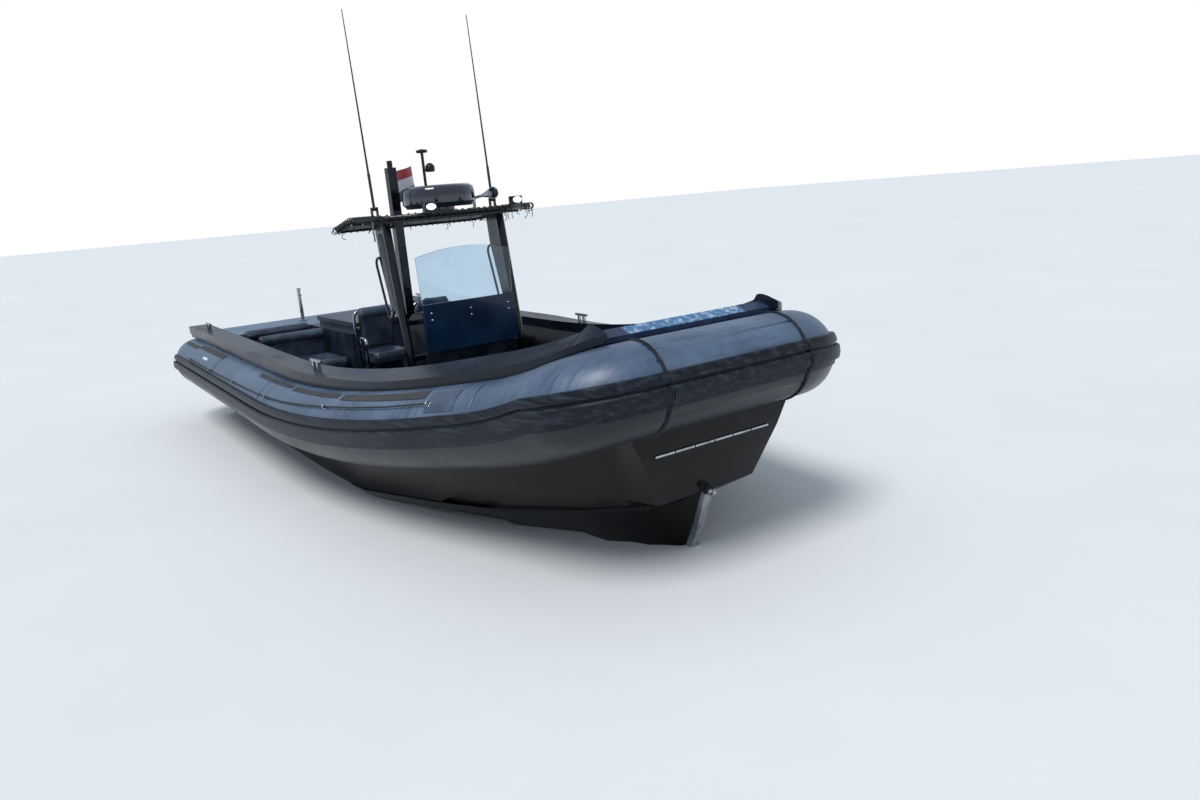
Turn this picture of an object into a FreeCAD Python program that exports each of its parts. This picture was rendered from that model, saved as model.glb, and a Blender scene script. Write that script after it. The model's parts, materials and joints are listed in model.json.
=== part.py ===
import FreeCAD, Part
import math
import os
import Sketcher
from FreeCAD import Placement, Rotation, Vector

# An eight metre rigid inflatable patrol boat, afloat.
# Millimetres. X points forward, Y to port, Z up.
# The origin is on the centreline at the resting waterline, about amidships.

doc = FreeCAD.newDocument("InflatableBoat")
sheet = doc.addObject("Spreadsheet::Sheet", "Sizes")

# Driving dimensions: name and value in millimetres or degrees.
SIZES = (
    # inflatable collar
    ("tube_radius", 274.0),
    ("tube_stern_x", -4200.0),
    ("tube_stern_y", 1429.0),
    ("tube_stern_z", 686.0),
    ("tube_end_length", 250.0),
    ("tube_end_radius", 150.0),
    ("bow_tube_x", 3437.0),
    ("bow_tube_z", 1184.0),
    ("bow_tube_half", 838.0),
    ("bow_bend_radius", 349.0),
    ("strake_clearance", 4.0),
    ("lifeline_radius", 6.0),
    ("lifeline_lift", 18.0),
    # hull and deck
    ("transom_x", -4100.0),
    ("transom_thick", 60.0),
    ("sole_height", 200.0),
    ("sole_thick", 20.0),
    ("well_aft_x", -2700.0),
    ("well_fore_x", 2250.0),
    ("well_fore_half_width", 600.0),
    ("bulwark_thick", 35.0),
    ("bulwark_knuckle", 70.0),
    ("bulwark_top_offset", 172.0),
    ("bow_wall_thick", 45.0),
    ("cap_overhang", 250.0),
    ("step_half_width", 665.0),
    ("plate_half_width", 460.0),
    ("plate_thick", 6.0),
    ("deck_height", 1040.0),
    ("deck_thick", 25.0),
    ("deck_fore_x", -3240.0),
    ("stem_strip_width", 60.0),
    ("stem_strip_thick", 14.0),
    ("rail_width", 70.0),
    ("rail_height", 34.0),
    # engine box, engine and water jet
    ("box_fore_x", -1800.0),
    ("box_half_width", 350.0),
    ("box_wall", 30.0),
    ("hatch_half_width", 290.0),
    ("hatch_aft_x", -3030.0),
    ("lid_rise", 110.0),
    ("lid_thick", 50.0),
    ("lid_overhang", 18.0),
    ("lid_gap", 6.0),
    ("bilge_z", -330.0),
    ("engine_length", 960.0),
    ("engine_width", 430.0),
    ("engine_height", 900.0),
    ("jet_radius", 150.0),
    ("jet_axis_z", -170.0),
    ("jet_housing_length", 190.0),
    ("nozzle_length", 190.0),
    ("nozzle_wall", 14.0),
    ("bucket_wall", 12.0),
    # console and windscreen
    ("console_front_x", 320.0),
    ("console_length", 480.0),
    ("console_half_width", 430.0),
    ("console_top_z", 1230.0),
    ("panel_thick", 22.0),
    ("panel_stand_off", 24.0),
    ("panel_foot_z", 1060.0),
    ("panel_top_z", 1470.0),
    ("panel_half_width", 438.0),
    ("bolt_pitch", 370.0),
    ("screen_thick", 8.0),
    ("screen_height", 480.0),
    ("screen_rise", 60.0),
    ("wheel_radius", 190.0),
    ("wheel_rim_radius", 15.0),
    ("wheel_hub_radius", 38.0),
    ("wheel_x", -310.0),
    ("wheel_y", 240.0),
    ("wheel_z", 1140.0),
    ("wheel_tilt", 25.0),
    # arch and top
    ("pillar_radius", 37.0),
    ("pillar_half_track", 545.0),
    ("pillar_foot_x", 330.0),
    ("pillar_top_x", 40.0),
    ("top_height", 2208.0),
    ("top_front_x", 580.0),
    ("top_front_half_width", 380.0),
    ("top_corner_x", 350.0),
    ("top_bend_x", -250.0),
    ("top_aft_x", -706.0),
    ("top_half_width", 740.0),
    ("top_droop", 85.0),
    ("top_tube_radius", 20.0),
    ("canopy_thick", 12.0),
    ("web_thick", 8.0),
    ("web_foot_z", 1330.0),
    ("loop_drop", 290.0),
    ("loop_length", 510.0),
    ("mast_x", -290.0),
    ("mast_y", -300.0),
    ("mast_side", 78.0),
    ("mast_top_z", 2630.0),
    ("mast_light_radius", 24.0),
    ("mast_light_height", 60.0),
    ("radome_radius", 315.0),
    ("radome_height", 225.0),
    ("radome_x", -16.0),
    ("radome_foot", 35.0),
    ("sensor_x", -385.0),
    ("sensor_y", 60.0),
    ("sensor_top_z", 2784.0),
    ("sensor_pole_radius", 13.0),
    ("antenna_x", -98.0),
    ("antenna_half_track", 569.0),
    ("antenna_length", 1620.0),
    ("antenna_rake", 4.0),
    ("flag_length", 430.0),
    ("flag_hoist", 280.0),
    # seats and fittings
    ("jockey_x", -970.0),
    ("jockey_half_track", 315.0),
    ("jockey_seat_z", 960.0),
    ("jockey_back_z", 1310.0),
    ("bolster_radius", 58.0),
    ("bench_fore_x", -1950.0),
    ("bench_seat_z", 790.0),
    ("bench_back_x", -2600.0),
    ("bench_back_z", 1000.0),
    ("bench_gap", 30.0),
    ("tow_post_x", -3765.0),
    ("tow_post_y", -266.0),
    ("tow_post_height", 400.0),
    ("eye_bore", 32.0),
    ("eye_ring", 13.0),
    ("seat_clearance", 0.3),
)
for row_number, (alias, value) in enumerate(SIZES, start=1):
    sheet.set("A%d" % row_number, alias)
    sheet.set("B%d" % row_number, "%g" % value)
    sheet.setAlias("B%d" % row_number, alias)
sheet.Label = "Sizes"
doc.recompute()


def size(alias):
    return float(sheet.get(alias))


PARTS = []


def keep(obj, label):
    obj.Label = label
    PARTS.append(obj)
    return obj


def feature(label, shape):
    """A sub-part whose shape comes from Part's own functions."""
    obj = doc.addObject("Part::Feature", label)
    obj.Shape = shape
    obj.Placement = Placement()
    return keep(obj, label)


def bound(kind, name, **expressions):
    """A primitive whose sizes and place follow the sheet."""
    obj = doc.addObject("Part::" + kind, name)
    for prop, expression in expressions.items():
        obj.setExpression(prop.replace("at_", "Placement.Base."), expression)
    return obj


def mirrored(shape):
    """The same shape on the other side of the centreline."""
    return shape.mirror(Vector(0, 0, 0), Vector(0, 1, 0))


def both_sides(shape):
    return Part.makeCompound([shape, mirrored(shape)])


def joined(shapes):
    """One solid from solids that meet."""
    result = shapes[0]
    if len(shapes) > 1:
        result = shapes[0].multiFuse(shapes[1:])
    return result.removeSplitter()


def largest(shape):
    return max(shape.Solids, key=lambda solid: solid.Volume)


def box(x0, x1, y0, y1, z0, z1):
    return Part.makeBox(x1 - x0, y1 - y0, z1 - z0, Vector(x0, y0, z0))


def rod(start, end, radius):
    """A round bar from one point to another."""
    run = end - start
    return Part.makeCylinder(radius, run.Length, start, run)


def polygon_face(points):
    return Part.Face(Part.makePolygon(list(points) + [points[0]]))


def bar_face(centre, along, radius, sides):
    """The many-sided section of a small bar."""
    across = Vector(along.y, -along.x, 0.0)
    if across.Length < 0.001:
        across = Vector(1, 0, 0)
    across.normalize()
    points = []
    for step in range(sides):
        spin = Rotation(along, 360.0 * (step + 0.5) / sides)
        points.append(centre + spin.multVec(across) * radius)
    return polygon_face(points)


def bar(start, end, radius, sides=8):
    return bar_face(start, end - start, radius, sides).extrude(end - start)


def prism(points, sweep):
    """A closed outline of corner points, extruded by a vector."""
    return polygon_face(points).extrude(sweep)


def skinned(sections):
    """A solid of flat facets between closed sections with equal numbers of points.

    A twisted facet is split from its end nearer the centreline, so both sides match.
    """
    faces = [polygon_face(sections[0]), polygon_face(sections[-1])]
    count = len(sections[0])
    for lower, upper in zip(sections, sections[1:]):
        for index in range(count):
            after = (index + 1) % count
            a, b = lower[index], lower[after]
            c, d = upper[after], upper[index]
            normal = (b - a).cross(d - a)
            lift = abs((c - a).dot(normal)) / max(normal.Length, 1e-9)
            if lift < 1e-5:
                faces.append(polygon_face([a, b, c, d]))
            elif abs(a.y) <= abs(b.y):
                faces.append(polygon_face([a, b, c]))
                faces.append(polygon_face([a, c, d]))
            else:
                faces.append(polygon_face([a, b, d]))
                faces.append(polygon_face([b, c, d]))
    shell = Part.makeShell(faces)
    shell.sewShape()
    solid = Part.makeSolid(shell)
    if solid.Volume < 0:
        solid.reverse()
    return solid


# Routes: straight runs joined by tangent arcs


class Route:
    """Corner points, each with a bend radius, walked as runs and arcs."""

    def __init__(self, corners, radii):
        self.pieces = []
        at = corners[0]
        for index in range(1, len(corners) - 1):
            corner = corners[index]
            back = corners[index - 1] - corner
            ahead = corners[index + 1] - corner
            room = 0.49 * min(back.Length, ahead.Length)
            back.normalize()
            ahead.normalize()
            half_turn = (math.pi - back.getAngle(ahead)) / 2.0
            reach = radii[index] * math.tan(half_turn)
            if index not in (1, len(corners) - 2):
                reach = min(reach, room)
            radius = reach / math.tan(half_turn)
            start = corner + back * reach
            axis = ahead.cross(back).normalize()
            centre = corner + (back + ahead).normalize() * (radius / math.cos(half_turn))
            self.pieces.append(("run", at, start))
            self.pieces.append(("arc", start, centre, axis, 2.0 * half_turn))
            at = corner + ahead * reach
        self.pieces.append(("run", at, corners[-1]))

    def stations(self, margin, sag):
        """Points and directions, so close that chords stay within a sag."""
        found = []
        for piece in self.pieces:
            if piece[0] == "run":
                along = (piece[2] - piece[1]).normalize()
                found.append((piece[1], along))
                found.append((piece[2], along))
            else:
                start, centre, axis, turn = piece[1:]
                outer = (start - centre).Length + margin
                steps = math.ceil(turn / (2.0 * math.acos(1.0 - sag / outer)))
                for step in range(1, steps):
                    spin = Rotation(axis, math.degrees(turn) * step / steps)
                    arm = spin.multVec(start - centre)
                    found.append((centre + arm, axis.cross(arm).normalize()))
        return found

    def carry(self, face, pieces=None):
        """The solids that a face sweeps when it is carried along the route."""
        solids = []
        for piece in pieces or self.pieces:
            if piece[0] == "run":
                step = piece[2] - piece[1]
                if step.Length > 0.01:
                    solids.append(face.extrude(step))
                face = face.translated(step)
            else:
                centre, axis, turn = piece[2:]
                solids.append(face.revolve(centre, axis, math.degrees(turn)))
                face = face.rotated(centre, axis, math.degrees(turn))
        return solids


def between(value, table, column=1):
    """Straight-line lookup in a table whose first column is the position."""
    for low, high in zip(table, table[1:]):
        if value <= high[0]:
            share = max(0.0, (value - low[0]) / (high[0] - low[0]))
            return low[column] + share * (high[column] - low[column])
    return table[-1][column]


# Collar: the starboard centreline, from the stern round the bow's elbow.
# Each corner: x, y, z, bend radius.
COLLAR_CORNERS = (
    (size("tube_stern_x"), -size("tube_stern_y"), size("tube_stern_z"), 0.0),
    (730.0, -size("tube_stern_y"), size("tube_stern_z") - 53.0, 9300.0),
    (2800.0, -927.0, 969.0, 3650.0),
    (size("bow_tube_x"), -size("bow_tube_half"), size("bow_tube_z"), size("bow_bend_radius")),
    (size("bow_tube_x"), 0.0, size("bow_tube_z"), 0.0),
)
collar = Route([Vector(x, y, z) for x, y, z, bend in COLLAR_CORNERS],
               [bend for x, y, z, bend in COLLAR_CORNERS])
nose_start = collar.pieces[-1][1]
ABOVE = Vector(0, 0, 1)
ATHWART = Vector(0, 1, 0)
SAG = 1.5
tube_radius = size("tube_radius")
gap = size("seat_clearance")
stations = collar.stations(tube_radius, SAG)


def frame_at(along):
    """Outboard and upward directions square to the route."""
    outboard = along.cross(ABOVE).normalize()
    return outboard, outboard.cross(along).normalize()


def collar_at(x):
    """The starboard centreline's point and direction at a place along the boat."""
    for (p, a), (q, b) in zip(stations, stations[1:]):
        if p.x <= x <= q.x:
            share = (x - p.x) / max(q.x - p.x, 0.001)
            return p + (q - p) * share, (a + (b - a) * share).normalize()
    point, along = stations[0]
    return point + along * ((x - point.x) / along.x), along


def on_tube(x, degrees, reach):
    """A point beside the tube, its outward direction and the way along it."""
    point, along = collar_at(x)
    outboard, upward = frame_at(along)
    angle = math.radians(degrees)
    out = outboard * math.cos(angle) + upward * math.sin(angle)
    return point + out * reach, out, along


stern = collar.pieces[0][1]
stern_along = (collar.pieces[0][2] - stern).normalize()
stern_out, stern_up = frame_at(stern_along)


def tube_end():
    """A domed end, turned about the tube's own line."""
    back = stern_along * -1.0
    length = size("tube_end_length")
    end_radius = size("tube_end_radius")
    rim = stern + stern_up * tube_radius
    shoulder = stern + back * (length * 0.66) + stern_up * (tube_radius * 0.86)
    tip = stern + back * length + stern_up * end_radius
    edges = [
        Part.LineSegment(stern, rim).toShape(),
        Part.Arc(rim, shoulder, tip).toShape(),
        Part.LineSegment(tip, stern + back * length).toShape(),
        Part.LineSegment(stern + back * length, stern).toShape(),
    ]
    return Part.Face(Part.Wire(edges)).revolve(stern, stern_along, 360.0)


stern_disc = Part.Face(Part.Wire([Part.makeCircle(tube_radius, stern, stern_along)]))
starboard_tube = joined(collar.carry(stern_disc, collar.pieces[:-1]) + [tube_end()])
feature("starboard_tube", starboard_tube)
feature("port_tube", mirrored(starboard_tube))
feature("nose_tube", rod(nose_start, Vector(nose_start.x, -nose_start.y, nose_start.z), tube_radius))

# Rubbing strakes: two ribs with a groove between, on a thin edge band.
# Each corner: how far it stands off the tube, and its angle up from level.
STRAKE_CORNERS = (
    (0.0, -15.0), (6.0, -14.8), (7.0, -7.6), (30.0, -6.0), (35.0, 0.0), (34.0, 8.0), (24.0, 10.4),
    (5.0, 10.8), (5.0, 13.4), (22.0, 13.9), (28.0, 17.0), (26.0, 24.5), (4.0, 26.8),
    (0.0, 26.8), (0.0, 16.0), (0.0, 6.0), (0.0, -5.0),
)


def strake_section(point, along):
    outboard, upward = frame_at(along)
    near = tube_radius + size("strake_clearance")
    corners = []
    for stand_off, degrees in STRAKE_CORNERS:
        angle = math.radians(degrees)
        out = outboard * math.cos(angle) + upward * math.sin(angle)
        corners.append(point + out * (near + stand_off))
    return corners


side_strake = skinned([strake_section(p, a) for p, a in stations[:-1]])
nose_gap = ATHWART * gap
nose_section = strake_section(nose_start + nose_gap, ATHWART)
nose_run = Vector(0, -2.0 * (nose_start.y + nose_gap.y), 0)
feature("rub_strakes", Part.makeCompound(
    [side_strake, prism(nose_section, nose_run), mirrored(side_strake)]))

# Hull: one row a section. x, keel z, chine y and z, knuckle y and z.
HULL_SECTIONS = (
    (size("transom_x"), -560, 1150, -60, 1175, 120),
    (-600, -560, 1160, -50, 1180, 130),
    (350, -560, 1130, 0, 1155, 150),
    (1350, -550, 960, 100, 1000, 270),
    (1950, -520, 840, 170, 900, 370),
    (2690, -420, 560, 270, 690, 430),
    (2950, -280, 400, 310, 580, 445),
    (3101, -107, 270, 330, 510, 440),
    (3219, 122, 130, 345, 450, 435),
    (3330, 415, 20, 420, 400, 425),
    (3425, 740, 200, 742, 545, 745),
    (3440, 886, 300, 888, 611, 891),
)
# The top edge of the side follows the tube as far as the elbow, then runs straight.
SIDE_OUT = 216.0
SIDE_DOWN = 189.0
BOW_SIDE_Y = 628.0
BOW_SIDE_Z = 903.0
WELL_TOP = 1500.0
WELL_XS = (-600.0, 350.0, 1350.0, 1950.0)
# How far the bulwark stands off the tube: place along the boat and distance.
BULWARK_CLEAR = ((2900.0, 2.0), (3090.0, 12.0), (3437.0, 12.0))
inner_offset = tube_radius + BULWARK_CLEAR[0][1] + size("bulwark_thick")
elbow_start_x = collar.pieces[-2][1].x


def hull_section(x, keel_z, chine_y, chine_z, knuckle_y, knuckle_z):
    side_y, side_z = BOW_SIDE_Y, BOW_SIDE_Z
    if x < elbow_start_x:
        point = collar_at(x)[0]
        side_y, side_z = -point.y - SIDE_OUT, point.z - SIDE_DOWN
    half = ((chine_y, chine_z), (knuckle_y, knuckle_z), (side_y, side_z))
    points = [Vector(x, 0, keel_z)]
    points += [Vector(x, -y, z) for y, z in half]
    points += [Vector(x, y, z) for y, z in reversed(half)]
    return points


def make_hull():
    block = skinned([hull_section(*row) for row in HULL_SECTIONS])
    floor = size("sole_height") - size("sole_thick")
    plan = [(size("well_aft_x"), size("tube_stern_y") - inner_offset)]
    plan += [(x, -collar_at(x)[0].y - inner_offset) for x in WELL_XS]
    plan.append((size("well_fore_x"), size("well_fore_half_width")))
    outline = [Vector(x, -y, floor) for x, y in plan]
    outline += [Vector(x, y, floor) for x, y in reversed(plan)]
    well = prism(outline, Vector(0, 0, WELL_TOP))
    sole = prism(outline, Vector(0, 0, size("sole_thick")))
    wall = size("box_wall")
    bilge_half = size("box_half_width") - wall
    bilge = box(size("deck_fore_x") + wall, size("box_fore_x") - wall,
                -bilge_half, bilge_half, size("bilge_z"), WELL_TOP)
    return block, block.cut(well).cut(bilge), sole.cut(bilge)


hull_block, hull, sole = make_hull()
feature("hull", hull)
feature("cockpit_sole", sole)

# Gunwale caps and bulwarks, at the stations of the collar.
# Each row: x, outer edge, inner edge, top at the outer and inner edge and underside.
# Offsets count outboard from the tube's line, heights up from it.
CAP_ROWS = (
    (-4450.0, 25.0, -200.0, 405.0, 405.0, 318.0),
    (-600.0, 25.0, -200.0, 405.0, 405.0, 318.0),
    (400.0, 5.0, -200.0, 375.0, 405.0, 310.0),
    (1300.0, 0.0, -200.0, 345.0, 408.0, 300.0),
    (2750.0, 0.0, -200.0, 345.0, 425.0, 295.0),
    (3130.0, -20.0, -200.0, 335.0, 415.0, 288.0),
    (3437.0, -60.0, -200.0, 335.0, 415.0, 288.0),
)
CAP_FOOT_INNER = -150.0
CAP_FOOT_INSET = 12.0
CAP_FOOT_CLEAR = 2.0
CAP_FOOT_HEIGHT = 8.0
aft_x = size("transom_x") - size("transom_thick")
cap_aft_x = size("tube_stern_x") - size("cap_overhang")
deck_under = size("deck_height") - size("deck_thick")


def stations_from(x):
    """The collar's stations from a place along the boat to the end of the elbow."""
    found = [collar_at(x)]
    found += [(p, a) for p, a in stations[:-1] if p.x > x + 5.0]
    return found


def section_at(point, along, corners):
    """Corners given as offset outboard and height above the tube's line."""
    outboard = frame_at(along)[0]
    return [point + outboard * offset + ABOVE * height for offset, height in corners]


def cap_corners(point, along):
    outer, inner, outer_top, inner_top, low = [between(point.x, CAP_ROWS, column)
                                               for column in range(1, 6)]
    foot = tube_radius / math.sqrt(1.0 - along.z ** 2) + CAP_FOOT_CLEAR
    low = max(low, foot + CAP_FOOT_HEIGHT)
    foot_outer = outer - CAP_FOOT_INSET
    return ((inner, low), (CAP_FOOT_INNER, low), (CAP_FOOT_INNER, foot), (foot_outer, foot),
            (foot_outer, low), (outer, low), (outer, outer_top), (inner, inner_top))


step_half = size("step_half_width")
starboard_cap = skinned([section_at(p, a, cap_corners(p, a)) for p, a in stations_from(cap_aft_x)])
starboard_cap = largest(starboard_cap.cut(
    box(2800.0, 4000.0, -step_half - gap, 0.0, 0.0, 2000.0)))
feature("gunwale_caps", both_sides(starboard_cap))

deck_half = size("tube_stern_y") + CAP_ROWS[0][2] - gap


HULL_TOPS = [(row[0], hull_section(*row)[3].z) for row in HULL_SECTIONS]


def bulwark_section(point, along):
    """A leaning plate between the tube and the well, standing on the hull."""
    clear = between(point.x, BULWARK_CLEAR)
    near = -tube_radius - clear
    far = near - size("bulwark_thick")
    top = between(point.x, CAP_ROWS, 5) - clear
    knuckle = size("bulwark_knuckle")
    top_near = BULWARK_CLEAR[0][1] - size("bulwark_top_offset") - clear
    top_far = top_near - size("bulwark_thick")
    corners = section_at(point, along, (
        (near, knuckle), (top_near, top), (top_far, top), (far, knuckle), (far, 0.0), (near, 0.0)))
    for foot in corners[4:]:
        foot.z = between(foot.x, HULL_TOPS) + clear - BULWARK_CLEAR[0][1] + gap
    return corners


# The bulwark follows the collar to the elbow, which it crosses with one flat panel.
bulwark_stations = [station for station in stations_from(aft_x) if station[0].x < elbow_start_x + 1.0]
bulwark_stations += [collar_at(x) for x, z in HULL_TOPS if aft_x < x < elbow_start_x]
bulwark_stations.sort(key=lambda station: station[0].x)
bulwark_stations.append((nose_start, ATHWART))
bulwark_block = skinned([bulwark_section(p, a) for p, a in bulwark_stations])

# Bow step: a wall behind the straight front tube and a sloping step over it.
wall_x1 = size("bow_tube_x") - tube_radius - gap
wall_x0 = wall_x1 - size("bow_wall_thick")
STEP_BACK = (3190.0, 1497.0)
STEP_FRONT = (3278.0, 1462.0)
STEP_FACE = 24.0
STEP_INSET = 16.0
LEDGE_Z = 1455.0
WALL_FOOT_Z = 860.0
WING_FLOOR_Z = 1410.0
WING_INNER_Y = -nose_start.y - 1.0
step_slope = Vector(STEP_FRONT[0] - STEP_BACK[0], 0, STEP_FRONT[1] - STEP_BACK[1]).normalize()
step_square = Vector(-step_slope.z, 0, step_slope.x)


def tube_top_at(x):
    """The height of the front tube's surface, with its clearance."""
    reach = tube_radius + gap
    return size("bow_tube_z") + math.sqrt(reach ** 2 - (x - size("bow_tube_x")) ** 2)


def bow_step():
    y = -WING_INNER_Y
    run = Vector(0, 2.0 * WING_INNER_Y, 0)
    face_foot = STEP_FRONT[1] - STEP_FACE
    seat_x = STEP_FRONT[0] - STEP_INSET
    reach = tube_radius + gap
    middle = Vector(size("bow_tube_x") - reach * math.cos(math.radians(30.0)), y,
                    size("bow_tube_z") + reach * math.sin(math.radians(30.0)))
    open_points = [
        (wall_x1, size("bow_tube_z")), (wall_x1, WALL_FOOT_Z), (wall_x0, WALL_FOOT_Z), (wall_x0, LEDGE_Z),
        (STEP_BACK[0], LEDGE_Z), STEP_BACK, STEP_FRONT, (STEP_FRONT[0], face_foot),
        (seat_x, face_foot - 4.0), (seat_x, tube_top_at(seat_x))]
    points = [Vector(x, y, z) for x, z in open_points]
    edges = [Part.LineSegment(a, b).toShape() for a, b in zip(points, points[1:])]
    edges.append(Part.Arc(points[-1], middle, points[0]).toShape())
    parts = [Part.Face(Part.Wire(edges)).extrude(run).cut(hull_block)]
    wing = ((STEP_BACK[0], WING_FLOOR_Z), STEP_BACK, STEP_FRONT, (STEP_FRONT[0], face_foot),
            (seat_x, face_foot - 4.0), (seat_x, WING_FLOOR_Z))
    pad = (Vector(STEP_BACK[0], 0, STEP_BACK[1]), Vector(STEP_FRONT[0], 0, STEP_FRONT[1]))
    lift = step_square * size("plate_thick")
    for side in (-1.0, 1.0):
        start = ATHWART * (side * WING_INNER_Y)
        across = ATHWART * (side * (step_half - WING_INNER_Y))
        parts.append(prism([Vector(x, 0, z) + start for x, z in wing], across))
        start = ATHWART * (side * size("plate_half_width"))
        across = ATHWART * (side * (step_half - size("plate_half_width")))
        parts.append(prism([pad[0] + start, pad[1] + start, pad[1] + lift + start, pad[0] + lift + start],
                           across))
    return joined(parts)


feature("bow_pad", bow_step())
plate_half = size("plate_half_width") - gap
plate_back = Vector(STEP_BACK[0], -plate_half, STEP_BACK[1]) + step_slope * 3.0 + step_square * gap
plate_front = Vector(STEP_FRONT[0], -plate_half, STEP_FRONT[1]) - step_slope * 3.0 + step_square * gap
plate_lift = step_square * size("plate_thick")
feature("chequer_plates", prism(
    [plate_back, plate_front, plate_front + plate_lift, plate_back + plate_lift],
    ATHWART * (2.0 * plate_half)))

# Transom, bulwarks, after deck and its bulkhead
WALL_CLEAR = 1.0
inner_side = size("tube_stern_y") - inner_offset - WALL_CLEAR
inner_top = size("tube_stern_y") - size("bulwark_top_offset") - size("bulwark_thick") - WALL_CLEAR


def upper_outline(x, floor_z):
    """The starboard side between the bulwarks, from a floor to the deck."""
    centre_z = collar_at(x)[0].z
    return [(inner_side, floor_z), (inner_side, centre_z + size("bulwark_knuckle")),
            (inner_top, centre_z + CAP_ROWS[0][5] - WALL_CLEAR), (inner_top, deck_under)]


def across_boat(x, half_outline):
    """A closed outline from its starboard half."""
    return [Vector(x, -y, z) for y, z in half_outline] + [
        Vector(x, y, z) for y, z in reversed(half_outline)]


lower = [(-p.y, p.z) for p in hull_section(*HULL_SECTIONS[0])[:4]]
transom_half = lower + upper_outline(aft_x, lower[3][1])
transom_points = across_boat(aft_x, transom_half[1:])
transom_points.append(Vector(aft_x, 0, lower[0][1]))
transom = prism(transom_points, Vector(size("transom_thick"), 0, 0))
feature("transom", transom)
bulwark = largest(bulwark_block.cut(
    box(2900.0, 4000.0, -step_half - gap, 0.0, WING_FLOOR_Z - gap, 2000.0)))
feature("starboard_bulwark", bulwark)
feature("port_bulwark", mirrored(bulwark))

deck_fore_x = size("deck_fore_x")
BULKHEAD_THICK = 25.0
deck = box(aft_x, deck_fore_x, -deck_half, deck_half, deck_under, size("deck_height"))
platform_z = collar_at(deck_fore_x)[0].z - SIDE_DOWN + WALL_CLEAR
bulkhead = prism(across_boat(deck_fore_x - BULKHEAD_THICK, upper_outline(deck_fore_x, platform_z)),
                 Vector(BULKHEAD_THICK, 0, 0))
feature("after_deck", joined([deck, bulkhead]))


# Keel, stem and spray rails
def stem_strip():
    line = [(row[0], row[1]) for row in HULL_SECTIONS[5:10]]
    lead = size("stem_strip_thick")
    outer = [(x + lead * 1.6, z - lead) for x, z in line]
    points = [Vector(x - 60.0, 0, z + 60.0) for x, z in line]
    points += [Vector(x, 0, z) for x, z in reversed(outer)]
    half = size("stem_strip_width") / 2.0
    block = prism([p + Vector(0, -half, 0) for p in points], Vector(0, 2.0 * half, 0))
    return largest(block.cut(hull_block))


stem = stem_strip()
feature("stem_strip", stem)


def rail(share, rows):
    """A spray rail that runs at a share of the way from keel to chine."""
    width = size("rail_width")
    height = size("rail_height")
    sections = []
    for x, keel_z, chine_y, chine_z in [row[:4] for row in rows]:
        y = share * chine_y
        z = keel_z + share * (chine_z - keel_z)
        sections.append([
            Vector(x, -y + width * 0.6, z + height * 0.4),
            Vector(x, -y - width * 0.3, z - height * 0.7),
            Vector(x, -y - width * 0.4, z - height * 0.4),
            Vector(x, -y - width * 0.2, z + height * 0.6)])
    return largest(skinned(sections).cut(hull_block))


feature("spray_rails", Part.makeCompound([
    both_sides(rail(1.0, HULL_SECTIONS[:8])), both_sides(rail(0.52, HULL_SECTIONS[:6]))]))

# Engine box with its hatch rim, lid and hinges
box_x0 = deck_fore_x + gap
box_x1 = size("box_fore_x")
box_half = size("box_half_width")
wall = size("box_wall")
rim_z = size("deck_height") + size("lid_rise") - size("lid_thick") - size("lid_gap")
hatch_x0 = size("hatch_aft_x")
hatch_half = size("hatch_half_width")


def engine_box():
    """A closed box level with the deck, open under its raised hatch rim."""
    outer = box(box_x0, box_x1, -box_half, box_half, size("sole_height"), size("deck_height"))
    inner = box(box_x0 + wall, box_x1 - wall, -box_half + wall, box_half - wall, 0.0, deck_under)
    rim = box(hatch_x0, box_x1, -hatch_half, hatch_half, deck_under, rim_z)
    opening = box(hatch_x0 + wall, box_x1 - wall, -hatch_half + wall, hatch_half - wall, 0.0, 2000.0)
    platform = hull_block.cut(box(size("well_aft_x"), 5000.0, -2000.0, 2000.0, 0.0, 2000.0))
    return largest(joined([outer.cut(inner), rim]).cut(opening).cut(platform))


feature("engine_box", engine_box())
lid_x0 = hatch_x0 - size("lid_overhang")
lid_x1 = box_x1 + size("lid_overhang")
lid_half = hatch_half + size("lid_overhang")
lid_z0 = rim_z + size("lid_gap")
HINGE_BACK = 18.0
HINGE_LIFT = 8.0
lid_hinge = Vector(lid_x0 - HINGE_BACK, 0, lid_z0 + HINGE_LIFT)
PIN_RADIUS = 6.0
HINGE_HALF_TRACK = 190.0
hinge_parts = []
lid_lugs = []
for side in (-1.0, 1.0):
    y = side * HINGE_HALF_TRACK
    for step in (-1.0, 1.0):
        y0 = y + step * 26.0 - 8.0
        cheek = box(lid_hinge.x - 12.0, lid_hinge.x + 12.0, y0, y0 + 16.0,
                    size("deck_height"), lid_hinge.z)
        knuckle = rod(lid_hinge + Vector(0, y0, 0), lid_hinge + Vector(0, y0 + 16.0, 0), 12.0)
        hinge_parts.append(cheek.fuse(knuckle))
    pin = rod(lid_hinge + Vector(0, y - 18.0, 0), lid_hinge + Vector(0, y + 18.0, 0), PIN_RADIUS)
    hinge_parts.append(pin)
    lug = box(lid_hinge.x, lid_x0, y - 14.0, y + 14.0, lid_z0 + 1.0, lid_z0 + 17.0)
    eye = rod(lid_hinge + Vector(0, y - 14.0, 0), lid_hinge + Vector(0, y + 14.0, 0), 11.0)
    bore = rod(lid_hinge + Vector(0, y - 15.0, 0), lid_hinge + Vector(0, y + 15.0, 0),
               PIN_RADIUS + gap)
    lid_lugs.append(lug.fuse(eye).cut(bore))
feature("lid_hinges", Part.makeCompound([joined(hinge_parts[:3]), joined(hinge_parts[3:])]))
lid = box(lid_x0, lid_x1, -lid_half, lid_half, lid_z0, lid_z0 + size("lid_thick"))
feature("engine_lid", joined([lid] + lid_lugs))

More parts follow.
